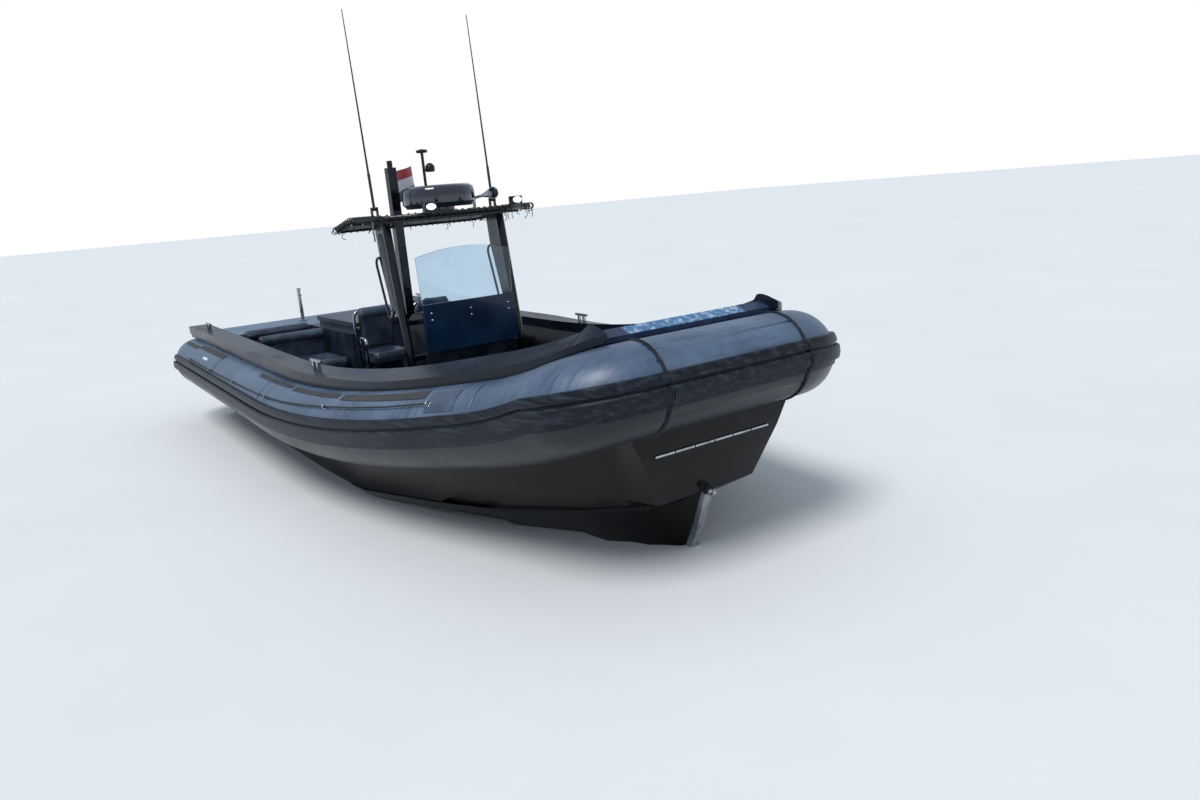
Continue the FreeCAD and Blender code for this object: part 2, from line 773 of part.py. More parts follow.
engine = bound(
    "Box", "engine", Length="<<Sizes>>.engine_length", Width="<<Sizes>>.engine_width",
    Height="<<Sizes>>.engine_height", at_y="-<<Sizes>>.engine_width / 2", at_z="<<Sizes>>.bilge_z",
    at_x="(<<Sizes>>.hatch_aft_x + <<Sizes>>.box_fore_x - <<Sizes>>.engine_length) / 2")
keep(engine, "engine")

# Water jet: housing on the transom, steered nozzle, reversing bucket.
jet_z = size("jet_axis_z")
jet_radius = size("jet_radius")
nozzle_pivot = Vector(aft_x - size("jet_housing_length"), 0, jet_z)
FLANGE_THICK = 22.0
OUTLET_RADIUS = 79.0
PIVOT_PIN = 9.0
NOZZLE_RADIUS = 139.0
NOZZLE_LEAD = 10.0


def along_x(x0, x1, radius0, radius1=None):
    """A round piece on the jet's line, between two x."""
    base = Vector(x0, 0, jet_z)
    if radius1 is None:
        return Part.makeCylinder(radius0, abs(x1 - x0), base, Vector(x1 - x0, 0, 0))
    return Part.makeCone(radius0, radius1, abs(x1 - x0), base, Vector(x1 - x0, 0, 0))


def jet_housing():
    face_x = aft_x - FLANGE_THICK
    neck_x = 0.5 * (face_x + nozzle_pivot.x)
    parts = [along_x(aft_x, face_x, jet_radius + 45.0),
             along_x(face_x, neck_x, jet_radius, OUTLET_RADIUS),
             along_x(neck_x, nozzle_pivot.x, OUTLET_RADIUS)]
    for side in (-1.0, 1.0):
        near = jet_z + side * (NOZZLE_RADIUS + 13.0)
        far = near + side * 18.0
        low, high = min(near, far), max(near, far)
        parts.append(box(nozzle_pivot.x - 26.0, face_x, -26.0, 26.0, low, high))
        pin_end = Vector(nozzle_pivot.x, 0, jet_z + side * (NOZZLE_RADIUS - 4.0))
        parts.append(rod(Vector(nozzle_pivot.x, 0, near), pin_end, PIVOT_PIN))
    return joined(parts)


feature("jet_housing", jet_housing())
nozzle_x0 = nozzle_pivot.x + NOZZLE_LEAD
nozzle_x1 = nozzle_x0 - size("nozzle_length")
bucket_pivot = Vector(nozzle_pivot.x - 70.0, 0, jet_z)
BUCKET_PIN = 10.0
BUCKET_HALF = NOZZLE_RADIUS + 14.0


def jet_nozzle():
    parts = [along_x(nozzle_x0, nozzle_x1, NOZZLE_RADIUS)]
    for side in (-1.0, 1.0):
        parts.append(rod(Vector(nozzle_pivot.x - 14.0, 0, jet_z + side * (NOZZLE_RADIUS - 30.0)),
                         Vector(nozzle_pivot.x - 14.0, 0, jet_z + side * (NOZZLE_RADIUS + 7.0)), 24.0))
        parts.append(rod(bucket_pivot + Vector(0, side * (NOZZLE_RADIUS - 30.0), 0),
                         bucket_pivot + Vector(0, side * (BUCKET_HALF + 9.0), 0), BUCKET_PIN))
    body = joined(parts)
    body = body.cut(along_x(nozzle_x0 + 5.0, nozzle_x1 - 5.0, NOZZLE_RADIUS - size("nozzle_wall")))
    for side in (-1.0, 1.0):
        body = body.cut(rod(Vector(nozzle_pivot.x, 0, jet_z + side * (NOZZLE_RADIUS - 20.0)),
                            Vector(nozzle_pivot.x, 0, jet_z + side * (NOZZLE_RADIUS + 30.0)),
                            PIVOT_PIN + gap))
    return largest(body)


feature("jet_nozzle", jet_nozzle())
BUCKET_RADIUS = 225.0
BUCKET_LOW = 16.0
BUCKET_HIGH = 84.0


def bucket():
    """A scoop, turned about its own hinge, with a cheek on each side."""
    def at(radius, angle, y):
        turn = math.radians(angle)
        return bucket_pivot + Vector(-radius * math.cos(turn), y, radius * math.sin(turn))

    thick = size("bucket_wall")
    face = polygon_face([
        at(BUCKET_RADIUS - thick, BUCKET_LOW, -BUCKET_HALF), at(BUCKET_RADIUS, BUCKET_LOW, -BUCKET_HALF),
        at(BUCKET_RADIUS, BUCKET_LOW, BUCKET_HALF), at(BUCKET_RADIUS - thick, BUCKET_LOW, BUCKET_HALF)])
    parts = [face.revolve(bucket_pivot, ATHWART, BUCKET_HIGH - BUCKET_LOW)]
    for side in (-1.0, 1.0):
        y0 = side * (NOZZLE_RADIUS + 6.0)
        y1 = side * BUCKET_HALF
        step = (BUCKET_HIGH - BUCKET_LOW) / 3.0
        rim = [at(BUCKET_RADIUS - thick / 3.0, BUCKET_LOW + step * index, y0) for index in range(4)]
        cheek = prism([at(0.0, 0.0, y0)] + rim, ATHWART * (y1 - y0))
        parts.append(cheek.fuse(rod(at(0.0, 0.0, y0), at(0.0, 0.0, y1), 28.0)))
    body = joined(parts)
    for side in (-1.0, 1.0):
        body = body.cut(rod(at(0.0, 0.0, side * NOZZLE_RADIUS), at(0.0, 0.0, side * (BUCKET_HALF + 5.0)),
                            BUCKET_PIN + gap))
    return body


feature("reverse_bucket", bucket())

# Console, its front panel and the windscreen
front_x = size("console_front_x")
console_aft_x = front_x - size("console_length")
console_half = size("console_half_width")
sole_z = size("sole_height")
top_z = size("console_top_z")
console_side = (
    (front_x, sole_z), (front_x, top_z + 178.0), (front_x - 60.0, top_z + 178.0),
    (front_x - 230.0, top_z + 150.0), (console_aft_x, top_z), (console_aft_x, 640.0),
    (console_aft_x + 90.0, 560.0), (console_aft_x + 90.0, sole_z),
)
console = prism([Vector(x, -console_half, z) for x, z in console_side],
                ATHWART * (2.0 * console_half))
RECESS_HALF = 330.0
RECESS_DEPTH = 70.0
recess = box(front_x - RECESS_DEPTH, front_x + 1.0, -RECESS_HALF, RECESS_HALF,
             sole_z + 60.0, size("panel_foot_z") - 130.0)
wheel_axis = Vector(-math.cos(math.radians(size("wheel_tilt"))), 0,
                    math.sin(math.radians(size("wheel_tilt"))))
wheel_centre = Vector(size("wheel_x"), size("wheel_y"), size("wheel_z"))
HUB_BACK = 24.0
COLUMN_REACH = 210.0
column = rod(wheel_centre - wheel_axis * COLUMN_REACH, wheel_centre - wheel_axis * (HUB_BACK + gap), 28.0)
panel_x = front_x + size("panel_stand_off")
BOLT_ROWS = (1335.0, 1392.0)


def front_panel():
    body = doc.addObject("PartDesign::Body", "front_panel")
    plane = [f for f in body.Origin.OriginFeatures if f.Role == "YZ_Plane"][0]
    sketch = body.newObject("Sketcher::SketchObject", "front_panel_outline")
    sketch.AttachmentSupport = (plane, [""])
    sketch.MapMode = "FlatFace"
    half = size("panel_half_width")
    foot = size("panel_foot_z")
    top = size("panel_top_z")
    corners = [Vector(-half, foot, 0), Vector(half, foot, 0), Vector(half, top, 0),
               Vector(-half, top, 0)]
    for start, end in zip(corners, corners[1:] + corners[:1]):
        sketch.addGeometry(Part.LineSegment(start, end), False)
    for index in range(4):
        sketch.addConstraint(Sketcher.Constraint("Coincident", index, 2, (index + 1) % 4, 1))
    for index in (0, 2):
        sketch.addConstraint(Sketcher.Constraint("Horizontal", index))
    for index in (1, 3):
        sketch.addConstraint(Sketcher.Constraint("Vertical", index))
    for name, kind, where, expression in (
            ("left", "DistanceX", (0, 1), "-<<Sizes>>.panel_half_width"),
            ("right", "DistanceX", (1, 2), "<<Sizes>>.panel_half_width"),
            ("foot", "DistanceY", (0, 1), "<<Sizes>>.panel_foot_z"),
            ("top", "DistanceY", (1, 2), "<<Sizes>>.panel_top_z")):
        start = -half if name == "left" else half
        number = sketch.addConstraint(Sketcher.Constraint(kind, -1, 1, where[0], where[1], start))
        sketch.renameConstraint(number, name)
        sketch.setExpression("Constraints.%s" % name, expression)
    pad = body.newObject("PartDesign::Pad", "front_panel_pad")
    pad.Profile = sketch
    pad.setExpression("Length", "<<Sizes>>.panel_thick")
    body.setExpression("Placement.Base.x", "<<Sizes>>.console_front_x + <<Sizes>>.panel_stand_off")
    return keep(body, "front_panel")


front_panel()
bolt_places = [(y, z) for y in (-size("bolt_pitch"), 0.0, size("bolt_pitch")) for z in BOLT_ROWS]


def screen():
    """The glass, held behind the top of the panel by its bolts."""
    half = size("panel_half_width") - 10.0
    foot = size("panel_top_z") - 170.0
    top = size("panel_top_z") + size("screen_height") - size("screen_rise") - 25.0
    crown = top + size("screen_rise")
    x = panel_x - size("screen_thick") - gap
    wide = half + 20.0
    edges = [
        Part.LineSegment(Vector(x, -half, foot), Vector(x, half, foot)).toShape(),
        Part.LineSegment(Vector(x, half, foot), Vector(x, wide, top)).toShape(),
        Part.Arc(Vector(x, wide, top), Vector(x, 0, crown), Vector(x, -wide, top)).toShape(),
        Part.LineSegment(Vector(x, -wide, top), Vector(x, -half, foot)).toShape(),
    ]
    glass = Part.Face(Part.Wire(edges)).extrude(Vector(size("screen_thick"), 0, 0))
    for y, z in bolt_places:
        glass = glass.cut(rod(Vector(x - 5.0, y, z), Vector(x + 20.0, y, z), 11.0))
    return glass


feature("windscreen", screen())
BOLT_RADIUS = 10.0
bolts = [rod(Vector(front_x, y, z), Vector(panel_x, y, z), BOLT_RADIUS) for y, z in bolt_places]
feature("console", joined([console.cut(recess), column] + bolts))

# Displays and levers on the dash
dash_run = Vector(console_aft_x, 0, top_z) - Vector(front_x - 230.0, 0, top_z + 150.0)
dash_along = Vector(dash_run).normalize()
dash_square = Vector(dash_along.z, 0, -dash_along.x)
dash_middle = Vector(front_x - 230.0, 0, top_z + 150.0) + dash_run * 0.5


def on_dash(y, down, length, width, height):
    """A flat housing on the sloping dash."""
    centre = dash_middle + dash_along * down + Vector(0, y, 0) + dash_square * gap
    a = centre - dash_along * (length / 2.0)
    b = centre + dash_along * (length / 2.0)
    across = Vector(0, width / 2.0, 0)
    return prism([a - across, b - across, b + across, a + across], dash_square * height)


levers = [on_dash(-10.0, 30.0, 110.0, 90.0, 40.0)]
for y in (-30.0, 10.0):
    foot = dash_middle + dash_along * 30.0 + Vector(0, y, 0) + dash_square * 38.0
    levers.append(rod(foot, foot + Vector(-20.0, 0, 95.0), 7.0))
feature("throttle", joined(levers))
feature("displays", Part.makeCompound([
    on_dash(-230.0, -10.0, 190.0, 270.0, 34.0), on_dash(240.0, -20.0, 160.0, 250.0, 34.0)]))


def steering_wheel():
    up = Vector(wheel_axis.z, 0, -wheel_axis.x)
    rim_section = bar_face(wheel_centre + up * size("wheel_radius"), ATHWART,
                           size("wheel_rim_radius"), 8)
    rim = rim_section.revolve(wheel_centre, wheel_axis, 360.0)
    hub = rod(wheel_centre - wheel_axis * HUB_BACK, wheel_centre + wheel_axis * 20.0,
              size("wheel_hub_radius"))
    parts = [rim, hub]
    for step in range(3):
        arm = Rotation(wheel_axis, 120.0 * step).multVec(up)
        parts.append(bar(wheel_centre, wheel_centre + arm * size("wheel_radius"), 10.0))
    return joined(parts)


feature("steering_wheel", steering_wheel())


# Arch: pillars, webs with their loop rails, the top frame and canopy
def pillar_x(z):
    share = (z - sole_z) / (size("top_height") - sole_z)
    return size("pillar_foot_x") + share * (size("pillar_top_x") - size("pillar_foot_x"))


track = size("pillar_half_track")
CROSS_HALF = 20.0
cross_z = size("top_height") - size("canopy_thick") / 2.0 - gap - CROSS_HALF
cross_aft_x = size("top_bend_x") + CROSS_HALF
pillar_top = cross_z - CROSS_HALF - gap
pillar_line = (Vector(pillar_x(sole_z), -track, sole_z), Vector(pillar_x(cross_z), -track, cross_z))
TIE_HEIGHTS = (1000.0, 1300.0)


def front_pillar():
    run = pillar_line[1] - pillar_line[0]
    pillar = rod(pillar_line[0] - run * 0.02, pillar_line[1], size("pillar_radius"))
    pillar = pillar.common(box(-1000, 1000, -1000, 0, sole_z, pillar_top))
    foot_plate = Part.makeCylinder(75.0, 12.0, pillar_line[0])
    ties = [box(pillar_x(z) - 10.0, pillar_x(z) + 50.0, -track, -console_half, z, z + 40.0)
            for z in TIE_HEIGHTS]
    return joined([pillar, foot_plate] + ties)


pillar = front_pillar()
feature("front_pillars", both_sides(pillar))
LOOP_TOP_X = -215.0
LOOP_FOOT_X = -60.0
LOOP_HALF = 62.0
loop_top_z = pillar_top - size("loop_drop")
loop_foot_z = loop_top_z - size("loop_length")


def web():
    """A side plate between the pillar and its aft edge, and a loop rail."""
    half = size("web_thick") / 2.0
    top = pillar_top - 4.0
    foot = size("web_foot_z")
    outline = [
        (pillar_x(top), top), (LOOP_TOP_X + 10.0, top), (LOOP_TOP_X + 40.0, loop_top_z),
        (LOOP_FOOT_X + 20.0, loop_foot_z + 60.0), (pillar_x(foot) - 30.0, foot), (pillar_x(foot), foot)]
    plate = prism([Vector(x, -track - half, z) for x, z in outline], Vector(0, 2.0 * half, 0))
    return largest(plate.cut(pillar))


def loop_rail():
    """A long rounded loop at the aft edge of the web."""
    top = Vector(LOOP_TOP_X, -track, loop_top_z)
    foot = Vector(LOOP_FOOT_X, -track, loop_foot_z)
    run = Vector(foot - top).normalize()
    side = Vector(run.z, 0, -run.x) * LOOP_HALF
    corners = [(top + foot) * 0.5 + side, foot + side, foot - side, top - side, top + side,
               (top + foot) * 0.5 + side]
    route = Route(corners, [0.0, 58.0, 58.0, 58.0, 58.0, 0.0])
    return joined(route.carry(bar_face(corners[0], run, 11.0, 8)))


rail_loop = loop_rail()
rail_loop.translate(Vector(0, -size("web_thick"), 0))
feature("arch_webs", both_sides(joined([web(), rail_loop])))


def top_frame():
    z = size("top_height")
    half = size("top_half_width")
    low = z - size("top_droop")
    aft = size("top_aft_x")
    front = size("top_front_x") - size("top_tube_radius")
    side = [
        (Vector(front, 0, z), 0.0), (Vector(front, -size("top_front_half_width"), z), 400.0),
        (Vector(size("top_corner_x") - 20.0, -half, z), 250.0),
        (Vector(size("top_bend_x"), -half, z), 1500.0), (Vector(aft, -half, low), 120.0)]
    corners = side + [(Vector(p.x, -p.y, p.z), r) for p, r in reversed(side)]
    route = Route([p for p, r in corners[:-1]] + [corners[0][0]], [r for p, r in corners])
    return joined(route.carry(bar_face(corners[0][0], Vector(0, -1, 0), size("top_tube_radius"), 12)))


mast_x, mast_y = size("mast_x"), size("mast_y")
mast_half = size("mast_side") / 2.0
mast_tube = bound(
    "Box", "mast_tube", Length="<<Sizes>>.mast_side", Width="<<Sizes>>.mast_side",
    Height="<<Sizes>>.mast_top_z - <<Sizes>>.sole_height",
    at_x="<<Sizes>>.mast_x - <<Sizes>>.mast_side / 2",
    at_y="<<Sizes>>.mast_y - <<Sizes>>.mast_side / 2", at_z="<<Sizes>>.sole_height")
mast_light = bound(
    "Cylinder", "mast_light", Radius="<<Sizes>>.mast_light_radius",
    Height="<<Sizes>>.mast_light_height", at_x="<<Sizes>>.mast_x", at_y="<<Sizes>>.mast_y",
    at_z="<<Sizes>>.mast_top_z")
mast_post = doc.addObject("Part::Fuse", "mast_post")
mast_post.Base = mast_tube
mast_post.Tool = mast_light
doc.recompute()
keep(mast_post, "mast_post")


def cross_member(x):
    half = size("top_half_width")
    return box(x - CROSS_HALF, x + CROSS_HALF, -half, half, cross_z - CROSS_HALF, cross_z + CROSS_HALF)


plate_x0 = size("sensor_x") - 30.0
plate_x1 = size("radome_x") + 190.0
plate_half_y = 150.0
plate_z0 = cross_z + CROSS_HALF + gap
PLATE_THICK = 22.0
HORN_Y = 450.0
HORN_BACK_X = -360.0
HORN_REACH = 520.0
HORN_RISE = 91.0
CANOPY_INSET = 56.0


def canopy():
    z = size("top_height")
    half = size("top_half_width") - CANOPY_INSET
    thick = size("canopy_thick")
    aft = size("top_aft_x") + CANOPY_INSET
    low = z - size("top_droop") * 0.92
    front_half = size("top_front_half_width") - 30.0
    profile = ((aft, half, low), (size("top_bend_x"), half, z), (size("top_corner_x") - 70.0, half, z),
               (size("top_front_x") - 90.0, front_half, z))
    cloth = skinned([[Vector(x, -w, level - thick / 2.0), Vector(x, w, level - thick / 2.0),
                      Vector(x, w, level + thick / 2.0), Vector(x, -w, level + thick / 2.0)]
                     for x, w, level in profile])
    clear = 8.0
    hole = mast_half + clear
    for cut in (
            box(plate_x0 - clear, plate_x1 + clear, -plate_half_y - clear, plate_half_y + clear,
                z - 200.0, z + 200.0),
            box(mast_x - hole, mast_x + hole, mast_y - hole, mast_y + hole, z - 200.0, z + 200.0),
            box(cross_aft_x - 22.0, cross_aft_x + 22.0, HORN_Y - 22.0, HORN_Y + 22.0,
                z - 100.0, z + 100.0)):
        cloth = cloth.cut(cut)
    return cloth


feature("top_canopy", canopy())


def revolved(profile, centre):
    """A turned piece: radius and height pairs about an upright line."""
    return polygon_face([centre + Vector(r, 0, z) for r, z in profile]).revolve(
        centre, Vector(0, 0, 1), 360.0)


radius = size("radome_radius")
height = size("radome_height")
plate_top = plate_z0 + PLATE_THICK
radome_base = Vector(size("radome_x"), 0, plate_top)
radome_profile = (
    (0.0, 0.0), (130.0, 0.0), (130.0, size("radome_foot")), (radius * 0.9, size("radome_foot")),
    (radius, size("radome_foot") + 40.0), (radius, height * 0.72), (radius * 0.97, height * 0.88),
    (radius * 0.88, height * 0.97), (radius * 0.7, height), (0.0, height))
feature("radome", revolved(radome_profile, radome_base))
plate = box(plate_x0, plate_x1, -plate_half_y, plate_half_y, plate_z0, plate_top)
pole_foot = Vector(size("sensor_x"), size("sensor_y"), plate_top)
pole_radius = size("sensor_pole_radius")
pole = bar(pole_foot, Vector(pole_foot.x, pole_foot.y, size("sensor_top_z") - 30.0), pole_radius, 12)
mushroom = revolved(((0.0, 0.0), (44.0, 0.0), (52.0, 8.0), (50.0, 24.0), (0.0, 34.0)),
                    Vector(pole_foot.x, pole_foot.y, size("sensor_top_z") - 34.0))
dome_z = size("sensor_top_z") - 170.0
arm = bar(Vector(pole_foot.x, pole_foot.y, dome_z - 20.0),
          Vector(pole_foot.x, pole_foot.y + 52.0, dome_z - 20.0), 9.0)
dome = revolved(((0.0, -34.0), (38.0, -34.0), (44.0, -10.0), (40.0, 20.0), (20.0, 42.0), (0.0, 46.0)),
                Vector(pole_foot.x, pole_foot.y + 62.0, dome_z))
feature("sensor_mast", joined([plate, pole, mushroom, arm, dome]))


def horn():
    """A trumpet on a post from the cross member."""
    back = Vector(HORN_BACK_X, HORN_Y, plate_z0 + HORN_RISE + 14.0)
    bell = Vector(HORN_BACK_X + HORN_REACH, HORN_Y, back.z + 40.0)
    run = Vector(bell - back).normalize()
    throat = back + run * 120.0
    neck = back + run * 300.0
    parts = [
        rod(back, throat, 30.0), rod(throat, neck, 13.0),
        Part.makeCone(13.0, 30.0, 110.0, neck, run),
        Part.makeCone(30.0, 52.0, (bell - neck).Length - 110.0, neck + run * 110.0, run),
        box(cross_aft_x - 11.0, cross_aft_x + 11.0, HORN_Y - 11.0, HORN_Y + 11.0,
            plate_z0, back.z)]
    hollow = Part.makeCone(20.0, 46.0, 60.0, bell - run * 59.0, run)
    return joined(parts).cut(hollow)


feature("horn", horn())
LAMP_Y = 394.0
LAMP_LEAD = 60.0
LAMP_LIFT = 30.0


def floodlight(y):
    x = size("top_front_x") + LAMP_LEAD
    z = size("top_height") + LAMP_LIFT
    front = size("top_front_x") - size("top_tube_radius")
    lamp = box(x - 32.0, x + 32.0, y - 48.0, y + 48.0, z, z + 62.0)
    foot = box(front - 12.0, x, y - 16.0, y + 16.0, size("top_height") + size("top_tube_radius") + gap,
               z + 1.0)
    return joined([lamp, foot])


feature("floodlights", Part.makeCompound([floodlight(-LAMP_Y), floodlight(LAMP_Y)]))

# Whip antennas, each on a folding mount.
antenna_y = size("antenna_half_track")
antenna_x = size("antenna_x")
mount_z = size("top_height") + size("top_tube_radius") - 6.0
antenna_pivot_z = mount_z + 66.0
ANTENNA_PIN = 6.0


def antenna_mount():
    plate = box(antenna_x - 34.0, antenna_x + 34.0, -size("top_half_width") - 10.0,
                -antenna_y + 34.0, mount_z, mount_z + 8.0)
    cheeks = []
    for step in (-1.0, 1.0):
        y = -antenna_y + step * 24.0
        cheeks.append(box(antenna_x - 16.0, antenna_x + 16.0, y - 6.0, y + 6.0,
                          mount_z + 8.0, antenna_pivot_z + 16.0))
    pin = rod(Vector(antenna_x, -antenna_y - 24.0, antenna_pivot_z),
              Vector(antenna_x, -antenna_y + 24.0, antenna_pivot_z), ANTENNA_PIN)
    return joined([plate] + cheeks + [pin])


def antenna():
    lean = math.radians(size("antenna_rake"))
    up = Vector(-math.sin(lean), 0, math.cos(lean))
    pivot = Vector(antenna_x, -antenna_y, antenna_pivot_z)
    ferrule_end = pivot + up * 300.0
    whip_end = pivot + up * size("antenna_length")
    barrel = rod(pivot - Vector(0, 14.0, 0), pivot + Vector(0, 14.0, 0), 15.0)
    lower_bar = bar(pivot, ferrule_end, 12.0)
    whip = bar_face(ferrule_end, up, 9.0, 8)
    tip = bar_face(whip_end, up, 4.0, 8)
    taper = Part.makeLoft([whip.OuterWire, tip.OuterWire], True, True)
    body = joined([barrel, lower_bar, taper])
    return body.cut(rod(pivot - Vector(0, 20.0, 0), pivot + Vector(0, 20.0, 0), ANTENNA_PIN + gap))


frame_parts = [top_frame(), cross_member(pillar_x(cross_z)), cross_member(cross_aft_x)]
frame_parts += [antenna_mount(), mirrored(antenna_mount())]
feature("top_frame", joined(frame_parts))
starboard_antenna = antenna()
feature("starboard_antenna", starboard_antenna)
feature("port_antenna", mirrored(starboard_antenna))
FLAG_HALF = 4.0
FLAG_FOOT = 100.0
FLAG_RISE = 95.0


def flag():
    """The ensign, streaming aft from the mast."""
    run = Vector(-0.65, 0.76, 0.0).normalize()
    across = Vector(-run.y, run.x, 0.0) * FLAG_HALF
    start = Vector(mast_x - mast_half - abs(across.x) - gap, mast_y + mast_half - 10.0,
                   size("top_height") + FLAG_FOOT)
    reach = run * size("flag_length") + Vector(0, 0, FLAG_RISE)
    hoist = Vector(0, 0, size("flag_hoist"))
    points = [start - across, start + reach - across, start + reach + hoist * 0.9 - across,
              start + hoist - across]
    return prism(points, across * 2.0)


feature("ensign", flag())

# Jockey seats
jockey_x = size("jockey_x")
seat_z = size("jockey_seat_z")
back_z = size("jockey_back_z")
bolster = size("bolster_radius")
JOCKEY_HALF = 170.0
CUSHION_THICK = 120.0
STAY_LOW_Z = 700.0
STAY_HIGH_Z = 1160.0
FRAME_BACK = 260.0


def seat_pedestal(side):
    y = side * size("jockey_half_track")
    return box(jockey_x - 130.0, jockey_x + 130.0, y - 120.0, y + 120.0, sole_z,
               seat_z - CUSHION_THICK - gap)


def seat_pad(side):
    y = side * size("jockey_half_track")
    pad = box(jockey_x - 130.0, jockey_x + 130.0, y - JOCKEY_HALF, y + JOCKEY_HALF,
              seat_z - CUSHION_THICK, seat_z)
    roll = rod(Vector(jockey_x + 130.0, y - JOCKEY_HALF, seat_z - bolster),
               Vector(jockey_x + 130.0, y + JOCKEY_HALF, seat_z - bolster), bolster)
    return joined([pad, roll])


def back_pad(side):
    y = side * size("jockey_half_track")
    x = jockey_x - 165.0
    pad = box(x - 28.0, x + 28.0, y - JOCKEY_HALF + 10.0, y + JOCKEY_HALF - 10.0,
              seat_z + 12.0, back_z)
    roll = rod(Vector(x, y - JOCKEY_HALF + 10.0, back_z), Vector(x, y + JOCKEY_HALF - 10.0, back_z),
               bolster)
    return joined([pad, roll])


def seat_frame(side):
    """Two uprights and the rails that tie them to the seat's pedestal."""
    y = side * size("jockey_half_track")
    x = jockey_x - FRAME_BACK
    half = min(JOCKEY_HALF + 12.0, size("jockey_half_track") - 20.0)
    top = back_z + 20.0
    corners = [Vector(x, y - half, sole_z), Vector(x, y - half, top),
               Vector(x, y + half, top), Vector(x, y + half, sole_z)]
    route = Route(corners, [0.0, 70.0, 70.0, 0.0])
    parts = [joined(route.carry(bar_face(corners[0], ABOVE, 16.0, 12)))]
    for z in (STAY_LOW_Z, STAY_HIGH_Z):
        parts.append(bar(Vector(x, y - half, z), Vector(x, y + half, z), 13.0))
    parts.append(seat_pedestal(side))
    parts.append(box(x, jockey_x - 130.0, y - 40.0, y + 40.0, STAY_LOW_Z - 10.0, STAY_LOW_Z + 10.0))
    parts.append(box(x, jockey_x - 193.0 - gap, y - 60.0, y + 60.0,
                     STAY_HIGH_Z - 10.0, STAY_HIGH_Z + 10.0))
    return joined(parts)


feature("seat_cushions", Part.makeCompound([seat_pad(-1.0), seat_pad(1.0)]))
feature("seat_backs", Part.makeCompound([back_pad(-1.0), back_pad(1.0)]))
feature("seat_frames", Part.makeCompound([seat_frame(-1.0), seat_frame(1.0)]))

# Benches beside the engine box
bench_x1 = size("bench_fore_x")
bench_x0 = size("bench_back_x")
bench_y0 = box_half + size("bench_gap")
bench_y1 = size("tube_stern_y") - inner_offset - 20.0
BENCH_PAD = 100.0
BENCH_BACK_THICK = 60.0
bench_z = size("bench_seat_z")


def bench_box(side):
    """A locker under the bench, bound to the sheet."""
    width = ("(<<Sizes>>.tube_stern_y - <<Sizes>>.tube_radius - <<Sizes>>.seat_clearance"
             " - <<Sizes>>.bulwark_thick - 20 - <<Sizes>>.box_half_width - <<Sizes>>.bench_gap)")
    inner = "(<<Sizes>>.box_half_width + <<Sizes>>.bench_gap)"
    return bound(
        "Box", "bench_box", Width=width,
        Length="<<Sizes>>.bench_fore_x - <<Sizes>>.bench_back_x + %g" % (BENCH_BACK_THICK - 40.0),
        Height="<<Sizes>>.bench_seat_z - %g - <<Sizes>>.seat_clearance - <<Sizes>>.sole_height" % BENCH_PAD,
        at_x="<<Sizes>>.bench_back_x - %g" % BENCH_BACK_THICK,
        at_y=inner if side > 0 else "-%s - %s" % (inner, width), at_z="<<Sizes>>.sole_height")


def bench_pad(side):
    y0, y1 = sorted((side * bench_y0, side * bench_y1))
    pad = box(bench_x0 + 40.0, bench_x1, y0, y1, bench_z - BENCH_PAD, bench_z)
    roll = rod(Vector(bench_x1, y0, bench_z - bolster * 0.8),
               Vector(bench_x1, y1, bench_z - bolster * 0.8), bolster)
    return joined([pad, roll])


def bench_back(side):
    y0, y1 = sorted((side * bench_y0, side * bench_y1))
    pad = box(bench_x0 - BENCH_BACK_THICK, bench_x0, y0, y1, bench_z - BENCH_PAD,
              size("bench_back_z") - 20.0)
    roll = rod(Vector(bench_x0 - 20.0, y0, size("bench_back_z")),
               Vector(bench_x0 - 20.0, y1, size("bench_back_z")), bolster)
    return joined([pad, roll])


def deck_roll(side):
    """A padded bulkhead face with a roll along the deck's front edge."""
    y0, y1 = sorted((side * bench_y0, side * (bench_y1 + 10.0)))
    x = deck_fore_x + bolster + gap
    z = size("deck_height") - 20.0
    pad = box(x - bolster, x - 8.0, y0, y1, platform_z + 100.0, z)
    return joined([pad, rod(Vector(x, y0, z), Vector(x, y1, z), bolster)])


bench_boxes = doc.addObject("Part::Compound", "bench_boxes")
bench_boxes.Links = [bench_box(-1.0), bench_box(1.0)]
doc.recompute()
keep(bench_boxes, "bench_boxes")
feature("bench_cushions", Part.makeCompound([bench_pad(-1.0), bench_pad(1.0)]))
feature("bench_backs", Part.makeCompound([bench_back(-1.0), bench_back(1.0)]))
feature("deck_bolsters", Part.makeCompound([deck_roll(-1.0), deck_roll(1.0)]))


# Deck fittings
def tow_post():
    foot = Vector(size("tow_post_x"), size("tow_post_y"), size("deck_height"))
    top = foot + Vector(0, 0, size("tow_post_height"))
    parts = [
        Part.makeCylinder(60.0, 12.0, foot), rod(foot, top, 22.0),
        rod(top - Vector(0, 0, 30.0), top + Vector(70.0, 0, -10.0), 11.0),
        rod(top - Vector(60.0, 0, 90.0), top + Vector(60.0, 0, -90.0), 10.0)]
    return joined(parts)


feature("tow_post", tow_post())
CLEAT_XS = (-3850.0, 100.0)


def cleat(x):
    """A two-horned cleat on the cap."""
    point, along = collar_at(x)
    flat = Vector(along.x, along.y, 0.0).normalize()
    outboard = frame_at(along)[0]
    base = point + outboard * -90.0 + ABOVE * between(x, CAP_ROWS, 4)
    across = outboard * 14.0
    parts = []
    for shift in (-45.0, 45.0):
        foot = base + flat * shift - ABOVE * 30.0
        corners = [foot - across - flat * 12.0, foot - across + flat * 12.0,
                   foot + across + flat * 12.0, foot + across - flat * 12.0]
        parts.append(prism(corners, ABOVE * 92.0))
    parts.append(bar(base - flat * 110.0 + ABOVE * 62.0, base + flat * 110.0 + ABOVE * 62.0, 13.0))
    return largest(joined(parts).cut(starboard_cap.translated(ABOVE * gap)).cut(starboard_cap))


